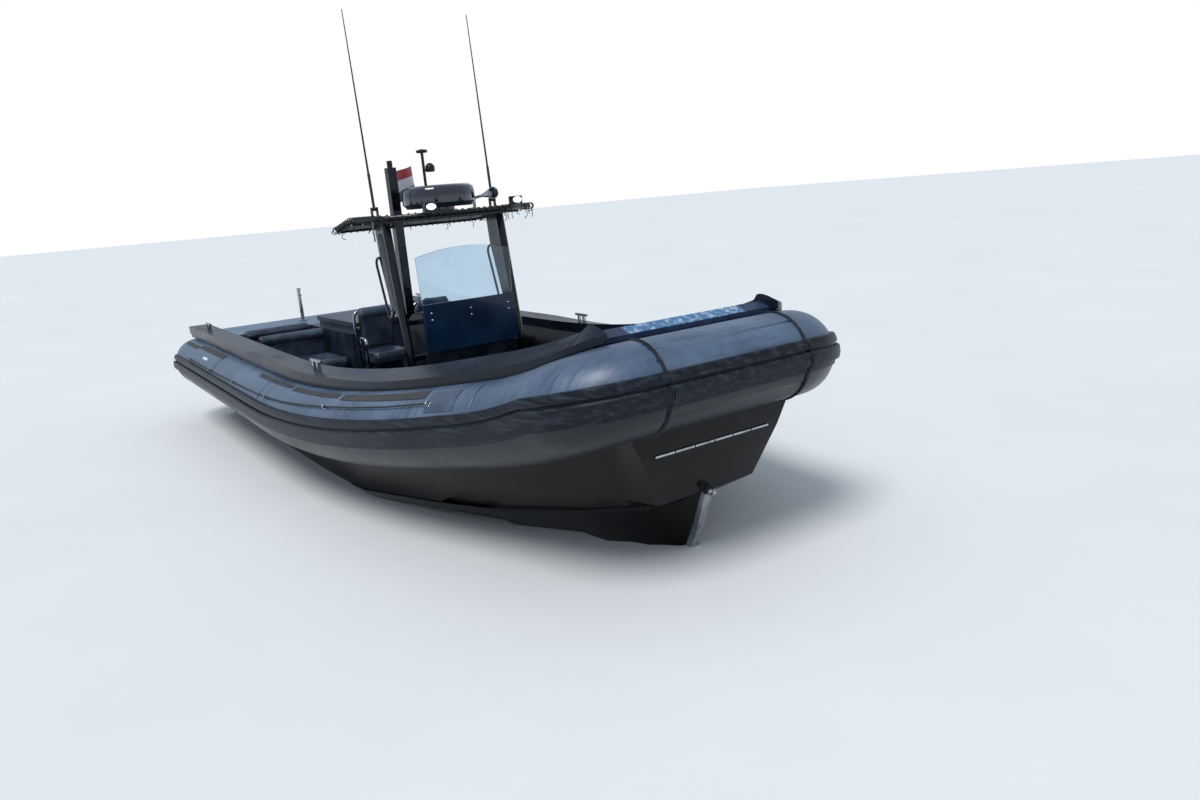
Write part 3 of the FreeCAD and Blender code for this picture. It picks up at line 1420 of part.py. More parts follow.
feature("cleats", Part.makeCompound([both_sides(cleat(x)) for x in CLEAT_XS]))

# Lifelines and their eyes. Each row: place along the boat, and degrees up from level.
LIFELINE_ROWS = (
    (-3560.0, 31.5), (-3400.0, 31.5), (-2440.0, 31.5), (-1430.0, 34.0), (-890.0, 35.7),
    (-350.0, 37.6), (60.0, 39.6), (470.0, 41.6), (880.0, 43.6), (1300.0, 43.8), (1750.0, 43.9),
    (2190.0, 43.9),
)
LIFELINE_EYES = (-3400.0, -2440.0, -1430.0, -350.0, 880.0, 2190.0)
EYE_CLEAR = 0.45
rope_reach = tube_radius + size("lifeline_lift")


def lifeline():
    sections = []
    for x, degrees in LIFELINE_ROWS:
        centre, out, along = on_tube(x, degrees, rope_reach)
        side = out.cross(along).normalize()
        sections.append([centre + (out * math.cos(turn) + side * math.sin(turn)) * size("lifeline_radius")
                         for turn in [math.radians(60.0 * step) for step in range(6)]])
    return skinned(sections)


def lifeline_eye(x):
    """A saddle on the tube with the rope through it."""
    centre, out, along = on_tube(x, between(x, LIFELINE_ROWS), 0.0)
    side = out.cross(along).normalize()

    def block(a0, a1, s0, s1, r0, r1):
        corners = [centre + along * a + side * s + out * r0 for a, s in
                   ((a0, s0), (a1, s0), (a1, s1), (a0, s1))]
        return prism(corners, out * (r1 - r0))

    hole = size("lifeline_radius") + EYE_CLEAR
    foot = tube_radius + 0.6
    return joined([
        block(-22.0, 22.0, -18.0, 18.0, foot, foot + 6.0),
        block(-9.0, 9.0, -hole - 7.0, -hole, foot + 5.0, rope_reach + hole + 7.0),
        block(-9.0, 9.0, hole, hole + 7.0, foot + 5.0, rope_reach + hole + 7.0),
        block(-9.0, 9.0, -hole, hole, rope_reach + hole, rope_reach + hole + 7.0)])


feature("lifelines", both_sides(lifeline()))
feature("lifeline_eyes", Part.makeCompound([both_sides(lifeline_eye(x)) for x in LIFELINE_EYES]))


# Towing and lifting eyes
def towing_eye(centre, root, seat_shape):
    half = 12.0
    ring = size("eye_bore") / 2.0 + size("eye_ring")
    disc = rod(centre - Vector(0, half, 0), centre + Vector(0, half, 0), ring)
    toward = Vector(root - centre).normalize()
    side = Vector(toward.z, 0, -toward.x) * ring
    tongue = prism([centre + side - Vector(0, half, 0), root + side * 1.4 - Vector(0, half, 0),
                    root - side * 1.4 - Vector(0, half, 0), centre - side - Vector(0, half, 0)],
                   Vector(0, 2.0 * half, 0))
    bore = rod(centre - Vector(0, half + 1.0, 0), centre + Vector(0, half + 1.0, 0),
               size("eye_bore") / 2.0)
    return largest(joined([disc, tongue]).cut(bore).cut(seat_shape))


STERN_EYE_Y = 880.0
STERN_EYE_Z = 260.0
EYE_REACH = 42.0
bow_eye = towing_eye(Vector(3385.0, 0, 420.0), Vector(3300.0, 0, 440.0), hull_block.fuse(stem))
stern_wall = box(aft_x, 0.0, -2000.0, 2000.0, -1000.0, 1000.0)
stern_eye = towing_eye(Vector(aft_x - EYE_REACH, -STERN_EYE_Y, STERN_EYE_Z),
                       Vector(aft_x, -STERN_EYE_Y, STERN_EYE_Z), stern_wall)
feature("towing_eyes", Part.makeCompound([bow_eye, stern_eye, mirrored(stern_eye)]))

doc.recompute()
for obj in doc.Objects:
    if {"Invalid", "Error"} & set(obj.State):
        raise RuntimeError("not built: %s" % obj.Name)
for obj in PARTS:
    if obj.Shape.isNull() or not obj.Shape.isValid():
        raise RuntimeError("bad shape: %s" % obj.Label)
    if not obj.Shape.Solids:
        raise RuntimeError("no solid: %s" % obj.Label)
os.makedirs("parts", exist_ok=True)
for obj in PARTS:
    obj.Shape.exportStep("parts/%s.step" % obj.Label)
print(len(PARTS), "sub-parts")
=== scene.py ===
"""Looks of a jet driven rigid inflatable boat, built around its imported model."""

import json
import math
import random

import bpy
from mathutils import Matrix, Quaternion, Vector, noise


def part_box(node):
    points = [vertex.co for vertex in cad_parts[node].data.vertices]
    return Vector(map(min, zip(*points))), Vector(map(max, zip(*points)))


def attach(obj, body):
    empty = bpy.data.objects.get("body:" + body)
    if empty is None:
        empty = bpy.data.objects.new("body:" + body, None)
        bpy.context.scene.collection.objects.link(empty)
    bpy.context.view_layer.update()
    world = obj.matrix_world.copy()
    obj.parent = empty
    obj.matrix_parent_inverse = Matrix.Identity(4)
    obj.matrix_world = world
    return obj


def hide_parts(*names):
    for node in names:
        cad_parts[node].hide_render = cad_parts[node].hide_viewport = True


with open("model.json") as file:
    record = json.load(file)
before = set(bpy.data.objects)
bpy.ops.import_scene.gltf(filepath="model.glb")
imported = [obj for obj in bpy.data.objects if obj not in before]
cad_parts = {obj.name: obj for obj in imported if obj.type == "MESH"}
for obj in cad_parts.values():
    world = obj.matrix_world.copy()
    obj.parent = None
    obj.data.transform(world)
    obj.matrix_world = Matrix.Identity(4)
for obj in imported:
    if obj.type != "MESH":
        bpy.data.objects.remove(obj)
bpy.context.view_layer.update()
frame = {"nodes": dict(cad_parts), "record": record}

bl_info = {
    "name": "Rigid inflatable boat",
    "version": (1, 0, 0),
    "blender": (4, 5, 0),
    "location": "View3D > Sidebar > Boat",
    "description": "Dresses the packed boat: finishes, seats, top, ensign, collar and stage",
    "category": "Object",
}

TUBE_RADIUS = 0.274
# Starboard collar line: corner points from the stern to the bow, with bend radii.
COLLAR = (
    (-4.2, -1.429, 0.686, 0.0),
    (0.73, -1.429, 0.633, 9.3),
    (2.8, -0.927, 0.969, 3.65),
    (3.437, -0.838, 1.184, 0.349),
    (3.437, 0.0, 1.184, 0.0),
)
STRAKE_PROFILE = (
    (0.0, -15.0), (6.0, -14.8), (7.0, -7.6), (30.0, -6.0), (35.0, 0.0), (34.0, 8.0),
    (24.0, 10.4), (8.0, 12.0), (22.0, 13.9), (28.0, 17.0), (26.0, 24.5), (4.0, 26.8),
)
UP = Vector((0.0, 0.0, 1.0))
SIDES = (("starboard", -1.0), ("port", 1.0))
# Finest step along a bent line, in metres, and the angle that counts as an edge.
BEND_STEP = 0.05
EDGE_ANGLE = math.radians(45.0)
# Nose tube's starboard end, where its centre meets the bow's elbow.
BOW_X = 3.437
BOW_HALF = 0.532
BOW_Z = 1.184
# The top's rail: height, where it bends down, its aft end and its drop there.
RAIL_Z = 2.208
RAIL_BEND_X = -0.25
RAIL_AFT_X = -0.706
RAIL_AFT_RUN = 0.456
RAIL_DROP = 0.085
# Upholstery: corner rounding, crown and folds of a pad, all in metres.
PAD_EDGE = 0.018
PAD_CROWN = 0.008
PAD_FOLD = 0.006
FINE_VOXEL = 0.0095
WIDE_VOXEL = 0.012
ROLL_RADIUS = 0.058
BENCH_ROLL_RADIUS = 0.056
WELT_INSET = 0.012
WELT_RADIUS = 0.0045
# Groups of shader nodes and finished materials, by name.
GROUPS = {}
FINISHES = {}


def linear(red, green, blue):
    """A colour given in screen levels, as the shader wants it."""
    levels = []
    for value in (red, green, blue):
        share = value / 255.0
        if share <= 0.04045:
            levels.append(share / 12.92)
        else:
            levels.append(((share + 0.055) / 1.055) ** 2.4)
    return tuple(levels) + (1.0,)


def rounded(corners):
    """Points along a line whose corners are bent to their radii."""
    points = [Vector(corners[0][:3])]
    for index in range(1, len(corners) - 1):
        corner = Vector(corners[index][:3])
        back = (Vector(corners[index - 1][:3]) - corner).normalized()
        ahead = (Vector(corners[index + 1][:3]) - corner).normalized()
        radius = corners[index][3]
        half_turn = (math.pi - back.angle(ahead)) / 2.0
        start = corner + back * radius * math.tan(half_turn)
        centre = corner + (back + ahead).normalized() * radius / math.cos(half_turn)
        axis = ahead.cross(back).normalized()
        steps = max(3, math.ceil(2.0 * half_turn * radius / BEND_STEP))
        for count in range(steps + 1):
            spin = Quaternion(axis, 2.0 * half_turn * count / steps)
            points.append(centre + spin @ (start - centre))
    points.append(Vector(corners[-1][:3]))
    return points


LINE = rounded(COLLAR)


def collar_at(x):
    """The starboard collar line's point and direction at a place along the boat."""
    for low, high in zip(LINE, LINE[1:]):
        if low.x <= x <= high.x and high.x - low.x > 1e-6:
            return low.lerp(high, (x - low.x) / (high.x - low.x)), (high - low).normalized()
    return LINE[0].copy(), (LINE[1] - LINE[0]).normalized()


def on_tube(x, degrees, reach, side):
    """A point beside the tube on the starboard side, -1, or the port side, 1."""
    point, along = collar_at(x)
    outboard = along.cross(UP).normalized()
    upward = outboard.cross(along).normalized()
    angle = math.radians(degrees)
    spot = point + (outboard * math.cos(angle) + upward * math.sin(angle)) * reach
    return Vector((spot.x, -side * spot.y, spot.z))


# Material building blocks


def new_group(name, inputs, outputs):
    tree = bpy.data.node_groups.new(name, "ShaderNodeTree")
    for label, kind, value in inputs:
        socket = tree.interface.new_socket(label, in_out="INPUT", socket_type=kind)
        socket.default_value = value
    for label, kind in outputs:
        tree.interface.new_socket(label, in_out="OUTPUT", socket_type=kind)
    return tree, tree.nodes.new("NodeGroupInput"), tree.nodes.new("NodeGroupOutput")


def stretched_noise_group():
    """Noise in object space, stretched along an axis, between two levels."""
    tree, given, out = new_group(
        "stretched_noise",
        (
            ("Stretch", "NodeSocketVector", (1.0, 1.0, 1.0)),
            ("Scale", "NodeSocketFloat", 3.0),
            ("Low", "NodeSocketFloat", 0.4),
            ("High", "NodeSocketFloat", 0.7),
        ),
        (("Mask", "NodeSocketFloat"),),
    )
    where = tree.nodes.new("ShaderNodeTexCoord")
    times = tree.nodes.new("ShaderNodeVectorMath")
    times.operation = "MULTIPLY"
    cloud = tree.nodes.new("ShaderNodeTexNoise")
    cloud.inputs["Detail"].default_value = 6.0
    cloud.inputs["Roughness"].default_value = 0.62
    levels = tree.nodes.new("ShaderNodeMapRange")
    join = tree.links.new
    join(where.outputs["Object"], times.inputs[0])
    join(given.outputs["Stretch"], times.inputs[1])
    join(times.outputs[0], cloud.inputs["Vector"])
    join(given.outputs["Scale"], cloud.inputs["Scale"])
    join(cloud.outputs["Fac"], levels.inputs["Value"])
    join(given.outputs["Low"], levels.inputs["From Min"])
    join(given.outputs["High"], levels.inputs["From Max"])
    join(levels.outputs["Result"], out.inputs["Mask"])
    return tree


def grain_group():
    """A fine grain that tilts the normal."""
    tree, given, out = new_group(
        "grain",
        (
            ("Scale", "NodeSocketFloat", 300.0),
            ("Strength", "NodeSocketFloat", 0.1),
            ("Depth", "NodeSocketFloat", 0.001),
        ),
        (("Normal", "NodeSocketVector"),),
    )
    where = tree.nodes.new("ShaderNodeTexCoord")
    cloud = tree.nodes.new("ShaderNodeTexNoise")
    cloud.inputs["Detail"].default_value = 3.0
    bump = tree.nodes.new("ShaderNodeBump")
    join = tree.links.new
    join(where.outputs["Object"], cloud.inputs["Vector"])
    join(given.outputs["Scale"], cloud.inputs["Scale"])
    join(cloud.outputs["Fac"], bump.inputs["Height"])
    join(given.outputs["Strength"], bump.inputs["Strength"])
    join(given.outputs["Depth"], bump.inputs["Distance"])
    join(bump.outputs["Normal"], out.inputs["Normal"])
    return tree


def below_strakes_group():
    """Painted shade and painted reflection of dark water: one on the collar under its rubbing
    strakes, nought above them.
    """
    tree, _, out = new_group("below_strakes", (), (("Mask", "NodeSocketFloat"),))
    where = tree.nodes.new("ShaderNodeTexCoord")
    parts = tree.nodes.new("ShaderNodeSeparateXYZ")
    tree.links.new(where.outputs["Object"], parts.inputs[0])
    height = parts.outputs["Z"]
    # The line drops about 50 mm to the first bend, then climbs to the bow in two slopes.
    for start, end, rise in ((-4.2, 0.2, -0.05), (0.2, 2.6, 0.32), (2.6, 3.437, 0.24)):
        climb = tree.nodes.new("ShaderNodeMapRange")
        climb.inputs["From Min"].default_value = start
        climb.inputs["From Max"].default_value = end
        climb.inputs["To Max"].default_value = rise
        tree.links.new(parts.outputs["X"], climb.inputs["Value"])
        less = tree.nodes.new("ShaderNodeMath")
        less.operation = "SUBTRACT"
        tree.links.new(height, less.inputs[0])
        tree.links.new(climb.outputs["Result"], less.inputs[1])
        height = less.outputs[0]
    edge = tree.nodes.new("ShaderNodeMapRange")
    edge.inputs["From Min"].default_value = 0.64
    edge.inputs["From Max"].default_value = 0.60
    tree.links.new(height, edge.inputs["Value"])
    tree.links.new(edge.outputs["Result"], out.inputs["Mask"])
    return tree


def use_group(material, tree, **values):
    node = material.node_tree.nodes.new("ShaderNodeGroup")
    node.node_tree = tree
    for label, value in values.items():
        node.inputs[label].default_value = value
    return node


def mix_colours(material, mask, first, second):
    """Two colours, each a value or a socket, mixed by a mask."""
    node = material.node_tree.nodes.new("ShaderNodeMix")
    node.data_type = "RGBA"
    material.node_tree.links.new(mask, node.inputs["Factor"])
    for socket, colour in ((node.inputs[6], first), (node.inputs[7], second)):
        if isinstance(colour, bpy.types.NodeSocket):
            material.node_tree.links.new(colour, socket)
        else:
            socket.default_value = colour
    return node.outputs[2]


def finish(name, base, worn, rough, wear, **more):
    """A procedural finish: two tones by a wear mask, streaks, painted shade under the collar's
    strakes where given, grain and set constants.
    """
    material = bpy.data.materials.new(name)
    material.use_nodes = True
    shader = material.node_tree.nodes["Principled BSDF"]
    join = material.node_tree.links.new
    scale, low, high = wear
    mask = use_group(
        material, GROUPS["noise"], Scale=scale, Low=low, High=high,
        Stretch=more.get("stretch", (1.0, 1.0, 1.0)),
    )
    colour = mix_colours(material, mask.outputs[0], base, worn)
    if "streak" in more:
        shade, stretch, low, high = more["streak"]
        lines = use_group(
            material, GROUPS["noise"], Scale=1.0, Low=low, High=high, Stretch=stretch
        )
        colour = mix_colours(material, lines.outputs[0], colour, shade)
    # Painted shade and painted reflection of dark water: the collar turns dark under its rubbing
    # strakes.
    if "lower" in more:
        under = use_group(material, GROUPS["below"])
        colour = mix_colours(material, under.outputs[0], colour, more["lower"])
    join(colour, shader.inputs["Base Color"])
    levels = material.node_tree.nodes.new("ShaderNodeMapRange")
    levels.inputs["To Min"].default_value = rough[0]
    levels.inputs["To Max"].default_value = rough[1]
    join(mask.outputs[0], levels.inputs["Value"])
    join(levels.outputs["Result"], shader.inputs["Roughness"])
    grain = more.get("grain", (260.0, 0.15, 0.0008))
    tilt = use_group(
        material, GROUPS["grain"], Scale=grain[0], Strength=grain[1], Depth=grain[2]
    )
    join(tilt.outputs[0], shader.inputs["Normal"])
    for label, value in more.get("constants", {}).items():
        shader.inputs[label].default_value = value
    FINISHES[name] = material
    return material


def make_finishes():
    """One finish for each material slot, and a few for pieces that have no slot."""
    GROUPS["noise"] = stretched_noise_group()
    GROUPS["grain"] = grain_group()
    GROUPS["below"] = below_strakes_group()
    metal = {"Metallic": 1.0}
    gloss = {"Specular IOR Level": 0.35, "Coat Weight": 0.25, "Coat Roughness": 0.06}
    dull = {"Specular IOR Level": 0.22}
    finish("hull_gelcoat", linear(4, 4, 6), linear(15, 19, 24), (0.16, 0.34),
           (1.4, 0.5, 0.8), constants=dull, grain=(40.0, 0.08, 0.0015),
           streak=(linear(28, 34, 42), (3.0, 3.0, 0.8), 0.62, 0.9))
    finish("deck_grey", linear(62, 84, 112), linear(88, 112, 142), (0.22, 0.45),
           (2.6, 0.35, 0.75), grain=(420.0, 0.5, 0.001),
           streak=(linear(40, 54, 74), (1.0, 8.0, 4.0), 0.62, 0.85))
    # The collar's dark colour under its strakes is painted shade and painted reflection of dark
    # water, not a second fabric.
    finish("tube_fabric", linear(70, 88, 111), linear(104, 124, 148), (0.36, 0.54),
           (2.2, 0.42, 0.78), lower=linear(10, 17, 27), grain=(30.0, 0.22, 0.004),
           streak=(linear(52, 68, 89), (30.0, 1.6, 1.6), 0.5, 0.76),
           constants={"Specular IOR Level": 0.4, "Coat Weight": 0.15, "Coat Roughness": 0.25})
    finish("strake_rubber", linear(17, 23, 32), linear(62, 72, 86), (0.4, 0.6),
           (1.6, 0.48, 0.85), stretch=(1.2, 9.0, 22.0), grain=(160.0, 0.3, 0.001),
           constants=dull)
    finish("cap_rubber", linear(17, 26, 40), linear(46, 60, 80), (0.26, 0.5),
           (1.9, 0.5, 0.8), stretch=(0.6, 1.6, 1.6), grain=(120.0, 0.3, 0.001),
           streak=(linear(50, 48, 48), (1.3, 6.0, 3.0), 0.64, 0.88), constants=dull)
    finish("chequer_metal", linear(88, 136, 182), linear(212, 228, 242), (0.2, 0.42),
           (26.0, 0.5, 0.68), constants={"Metallic": 0.7}, grain=(300.0, 0.2, 0.0008))
    finish("bright_steel", linear(176, 182, 188), linear(120, 124, 128), (0.14, 0.35),
           (9.0, 0.5, 0.75), constants=metal, grain=(500.0, 0.08, 0.0005))
    finish("box_paint", linear(26, 36, 50), linear(54, 68, 88), (0.3, 0.5),
           (3.0, 0.45, 0.75), grain=(320.0, 0.25, 0.0008))
    finish("engine_iron", linear(60, 64, 68), linear(92, 88, 82), (0.45, 0.7),
           (6.0, 0.4, 0.7), constants={"Metallic": 0.6})
    finish("jet_metal", linear(128, 132, 136), linear(84, 86, 88), (0.3, 0.55),
           (7.0, 0.4, 0.7), constants=metal)
    finish("panel_blue", linear(12, 34, 58), linear(24, 52, 80), (0.18, 0.34),
           (2.4, 0.45, 0.8), constants=gloss, grain=(200.0, 0.08, 0.0006))
    finish("screen_glass", linear(206, 226, 240), linear(186, 212, 232), (0.02, 0.07),
           (3.0, 0.5, 0.85), grain=(3.0, 0.03, 0.002),
           constants={"Transmission Weight": 1.0, "IOR": 1.46})
    finish("console_paint", linear(15, 21, 31), linear(36, 46, 60), (0.25, 0.45),
           (3.2, 0.45, 0.75), grain=(300.0, 0.2, 0.0008))
    finish("black_plastic", linear(12, 14, 18), linear(34, 38, 44), (0.35, 0.55),
           (6.0, 0.5, 0.75), grain=(400.0, 0.2, 0.0006))
    finish("display_glass", linear(8, 14, 24), linear(20, 32, 48), (0.05, 0.16),
           (5.0, 0.5, 0.8), constants=gloss, grain=(60.0, 0.02, 0.0005))
    finish("wheel_rubber", linear(14, 15, 18), linear(38, 40, 44), (0.45, 0.65),
           (14.0, 0.5, 0.7), grain=(500.0, 0.3, 0.0008))
    finish("black_paint", linear(7, 11, 18), linear(22, 29, 41), (0.14, 0.34),
           (5.0, 0.52, 0.8), constants=gloss, grain=(300.0, 0.06, 0.0006))
    finish("canopy_fabric", linear(22, 29, 40), linear(44, 54, 68), (0.6, 0.85),
           (4.0, 0.4, 0.75), grain=(700.0, 0.5, 0.001), constants={"Sheen Weight": 0.3})
    finish("radome_plastic", linear(17, 27, 46), linear(34, 48, 70), (0.1, 0.24),
           (2.8, 0.5, 0.85), constants={"Coat Weight": 1.0, "Coat Roughness": 0.05})
    finish("horn_metal", linear(150, 156, 162), linear(96, 100, 106), (0.18, 0.4),
           (12.0, 0.45, 0.7), constants=metal)
    finish("lamp_body", linear(20, 24, 30), linear(52, 58, 66), (0.3, 0.5),
           (12.0, 0.48, 0.7))
    finish("antenna_plastic", linear(30, 34, 40), linear(60, 66, 74), (0.3, 0.5),
           (8.0, 0.5, 0.75))
    finish("seat_leather", linear(34, 45, 62), linear(72, 86, 106), (0.32, 0.55),
           (5.0, 0.42, 0.76), grain=(220.0, 0.35, 0.001),
           constants={"Coat Weight": 0.15, "Coat Roughness": 0.3})
    finish("seat_steel", linear(160, 168, 176), linear(96, 102, 110), (0.16, 0.4),
           (10.0, 0.46, 0.72), constants=metal)
    finish("rope_black", linear(14, 16, 20), linear(48, 52, 58), (0.7, 0.9),
           (40.0, 0.42, 0.7), grain=(320.0, 0.8, 0.002))
    finish("patch_rubber", linear(44, 45, 50), linear(68, 66, 66), (0.55, 0.75),
           (6.0, 0.42, 0.72), grain=(500.0, 0.5, 0.001))
    finish("patch_blue", linear(54, 68, 88), linear(80, 96, 118), (0.4, 0.6),
           (5.0, 0.42, 0.72), grain=(400.0, 0.4, 0.001))
    finish("white_mark", linear(226, 230, 234), linear(186, 192, 198), (0.35, 0.55),
           (8.0, 0.45, 0.7))
    finish("lamp_lens", linear(240, 244, 250), linear(214, 222, 232), (0.05, 0.12),
           (10.0, 0.4, 0.7), constants={
               "Emission Color": (0.9, 0.95, 1.0, 1.0), "Emission Strength": 1.2})
    finish("pad_blue", linear(22, 38, 66), linear(44, 62, 92), (0.4, 0.6),
           (6.0, 0.42, 0.75), grain=(260.0, 0.5, 0.001))
    flag = finish("flag_cloth", linear(186, 38, 46), linear(160, 28, 38), (0.7, 0.85),
                  (12.0, 0.4, 0.7), grain=(900.0, 0.5, 0.0006),
                  constants={"Sheen Weight": 0.3})
    stripe_flag(flag)


def stripe_flag(material):
    """Red, white and blue stripes by the sheet's own layout."""
    tree = material.node_tree
    shader = tree.nodes["Principled BSDF"]
    layout = tree.nodes.new("ShaderNodeTexCoord")
    parts = tree.nodes.new("ShaderNodeSeparateXYZ")
    tree.links.new(layout.outputs["UV"], parts.inputs[0])
    colour = shader.inputs["Base Color"].links[0].from_socket
    for level, paint in ((0.667, linear(222, 226, 230)), (0.333, linear(28, 62, 128))):
        under = tree.nodes.new("ShaderNodeMapRange")
        under.inputs["From Min"].default_value = level + 0.004
        under.inputs["From Max"].default_value = level - 0.004
        tree.links.new(parts.outputs["Y"], under.inputs["Value"])
        colour = mix_colours(material, under.outputs["Result"], colour, paint)
    tree.links.new(colour, shader.inputs["Base Color"])


# Modelling helpers


def only(obj):
    """Selects one object and makes it active."""
    bpy.ops.object.select_all(action="DESELECT")
    obj.select_set(True)
    bpy.context.view_layer.objects.active = obj


def settle(obj, name, material, body="root"):
    """Names a piece, gives it its finish and body, and puts its place in its mesh."""
    only(obj)
    bpy.ops.object.transform_apply(location=True, rotation=True, scale=True)
    obj.name = name
    obj.data.materials.clear()
    obj.data.materials.append(FINISHES[material])
    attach(obj, body)
    return obj


def add_modifier(obj, name, kind, **values):
    """Adds a modifier with its values set."""
    modifier = obj.modifiers.new(name, kind)
    for label, value in values.items():
        setattr(modifier, label, value)
    return modifier


def apply_all(obj):
    """Applies an object's modifiers in their order."""
    only(obj)
    for modifier in list(obj.modifiers):
        bpy.ops.object.modifier_apply(modifier=modifier.name)


def smooth(obj):
    """Shades an object smooth but for its edges."""
    only(obj)
    bpy.ops.object.shade_smooth_by_angle(angle=EDGE_ANGLE)


def mesh_piece(name, points, faces, material, body="root", wrap=None):
    """A piece from points and faces, with a layout for patterns where wrap gives one."""
    mesh = bpy.data.meshes.new(name)
    mesh.from_pydata([tuple(point) for point in points], [], faces)
    if wrap:
        layer = mesh.uv_layers.new(name="layout")
        for loop in mesh.loops:
            layer.data[loop.index].uv = wrap[loop.vertex_index]
    mesh.validate()
    obj = bpy.data.objects.new(name, mesh)
    bpy.context.collection.objects.link(obj)
    only(obj)
    bpy.ops.object.mode_set(mode="EDIT")
    bpy.ops.mesh.select_all(action="SELECT")
    bpy.ops.mesh.normals_make_consistent(inside=False)
    bpy.ops.object.mode_set(mode="OBJECT")
    settle(obj, name, material, body)
    smooth(obj)
    return obj


def pipe_parts(points, radius, sides, closed, first):
    """Rings of points and their faces along a line."""
    rings = []
    faces = []
    count = len(points)
    normal = None
    for index, point in enumerate(points):
        ahead = points[(index + 1) % count] if closed or index < count - 1 else point
        behind = points[index - 1] if closed or index > 0 else point
        along = (ahead - behind).normalized()
        if normal is None:
            normal = along.orthogonal().normalized()
        normal = (normal - along * normal.dot(along)).normalized()
        side = along.cross(normal)
        for corner in range(sides):
            angle = 2.0 * math.pi * corner / sides
            rings.append(point + (normal * math.cos(angle) + side * math.sin(angle)) * radius)
    for index in range(count if closed else count - 1):
        low = first + index * sides
        high = first + ((index + 1) % count) * sides
        for corner in range(sides):
            after = (corner + 1) % sides
            faces.append((low + corner, low + after, high + after, high + corner))
    if not closed:
        faces.append(tuple(first + corner for corner in reversed(range(sides))))
        last = first + (count - 1) * sides
        faces.append(tuple(last + corner for corner in range(sides)))
    return rings, faces


def pipes(name, lines, radius, material, body="root", sides=8, closed=False):
    """One piece made of round strands along several lines."""
    points = []
    faces = []
    for line in lines:
        rings, more = pipe_parts([Vector(p) for p in line], radius, sides, closed, len(points))
        points += rings
        faces += more
    return mesh_piece(name, points, faces, material, body)


def curved(points, steps=6):
    """A smooth line through points."""
    points = [Vector(point) for point in points]
    ends = [points[0] * 2 - points[1]] + points + [points[-1] * 2 - points[-2]]
    line = []
    for index in range(1, len(ends) - 2):
        a, b, c, d = ends[index - 1:index + 3]
        for step in range(steps):
            t = step / steps
            line.append(0.5 * (
                2 * b + (c - a) * t + (2 * a - 5 * b + 4 * c - d) * t * t
                + (3 * b - a - 3 * c + d) * t * t * t))
    line.append(points[-1])
    return line


def grid_faces(rows, columns, skip):
    """Four-sided faces between the points of a grid, but for those to skip."""
    faces = []
    for row in range(rows - 1):
        for column in range(columns - 1):
            if (row, column) not in skip:
                low = row * columns + column
                faces.append((low, low + 1, low + columns + 1, low + columns))
    return faces


def plate(name, rows, material, thick, skip=(), wrap=None):
    """A thin plate through a grid of points, thickened on both sides."""
    columns = len(rows[0])
    points = [point for row in rows for point in row]
    faces = grid_faces(len(rows), columns, skip)
    obj = mesh_piece(name, points, faces, material, wrap=wrap)
    add_modifier(obj, "thickness", "SOLIDIFY", thickness=thick, offset=0.0)
    apply_all(obj)
    smooth(obj)
    return obj


def patch(name, side, x_range, low_angles, high_angles, lift, thick, material):
    """A patch that follows the tube, between two angles at each end."""
    columns = 9
    count = max(3, math.ceil((x_range[1] - x_range[0]) / 0.06))
    rows = []
    for row in range(count + 1):
        share = row / count
        x = x_range[0] + (x_range[1] - x_range[0]) * share
        low = low_angles[0] + (low_angles[1] - low_angles[0]) * share
        high = high_angles[0] + (high_angles[1] - high_angles[0]) * share
        rows.append([
            on_tube(x, low + (high - low) * column / (columns - 1), TUBE_RADIUS + lift, side)
            for column in range(columns)
        ])
    return plate(name, rows, material, thick)


# Padded pieces


def puffed(obj, seed, voxel, centre, half):
    """Crowns a block and gives it shallow folds, deeper near its edges."""
    add_modifier(obj, "even", "REMESH", mode="VOXEL", voxel_size=voxel)
    apply_all(obj)
    thin = min(range(3), key=lambda axis: half[axis])
    for vertex in obj.data.vertices:
        away = [(vertex.co[axis] - centre[axis]) / half[axis] for axis in range(3)]
        crown = 1.0
        for axis in range(3):
            if axis != thin:
                crown *= max(0.0, 1.0 - min(1.0, abs(away[axis])) ** 4)
        way = 1.0 if away[thin] > 0.0 else -1.0
        vertex.co[thin] += PAD_CROWN * crown * way * min(1.0, abs(away[thin]) * 1.5)
        spot = Vector((vertex.co.x * 9.0 + seed, vertex.co.y * 16.0, vertex.co.z * 9.0))
        fold = abs(noise.noise(spot))
        fine = noise.noise(spot * 2.7)
        near_edge = 1.0 - 0.6 * crown
        vertex.co += vertex.normal * PAD_FOLD * near_edge * (0.5 * fine - 1.2 * fold)
    add_modifier(obj, "soften", "SMOOTH", iterations=3, factor=0.5)
    apply_all(obj)
    bpy.ops.object.shade_smooth()


def pad(name, low, high, seed, node, voxel=FINE_VOXEL):
    """A stuffed block between two corners."""
    low = Vector(low)
    high = Vector(high)
    bpy.ops.object.select_all(action="DESELECT")
    bpy.ops.mesh.primitive_cube_add(size=1.0, location=(low + high) / 2.0)
    obj = bpy.context.object
    obj.scale = high - low
    settle(obj, name, "seat_leather")
    add_modifier(obj, "round", "BEVEL", width=PAD_EDGE, segments=4)
    apply_all(obj)
    puffed(obj, seed, voxel, (low + high) / 2.0, (high - low) / 2.0)
    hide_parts(node)


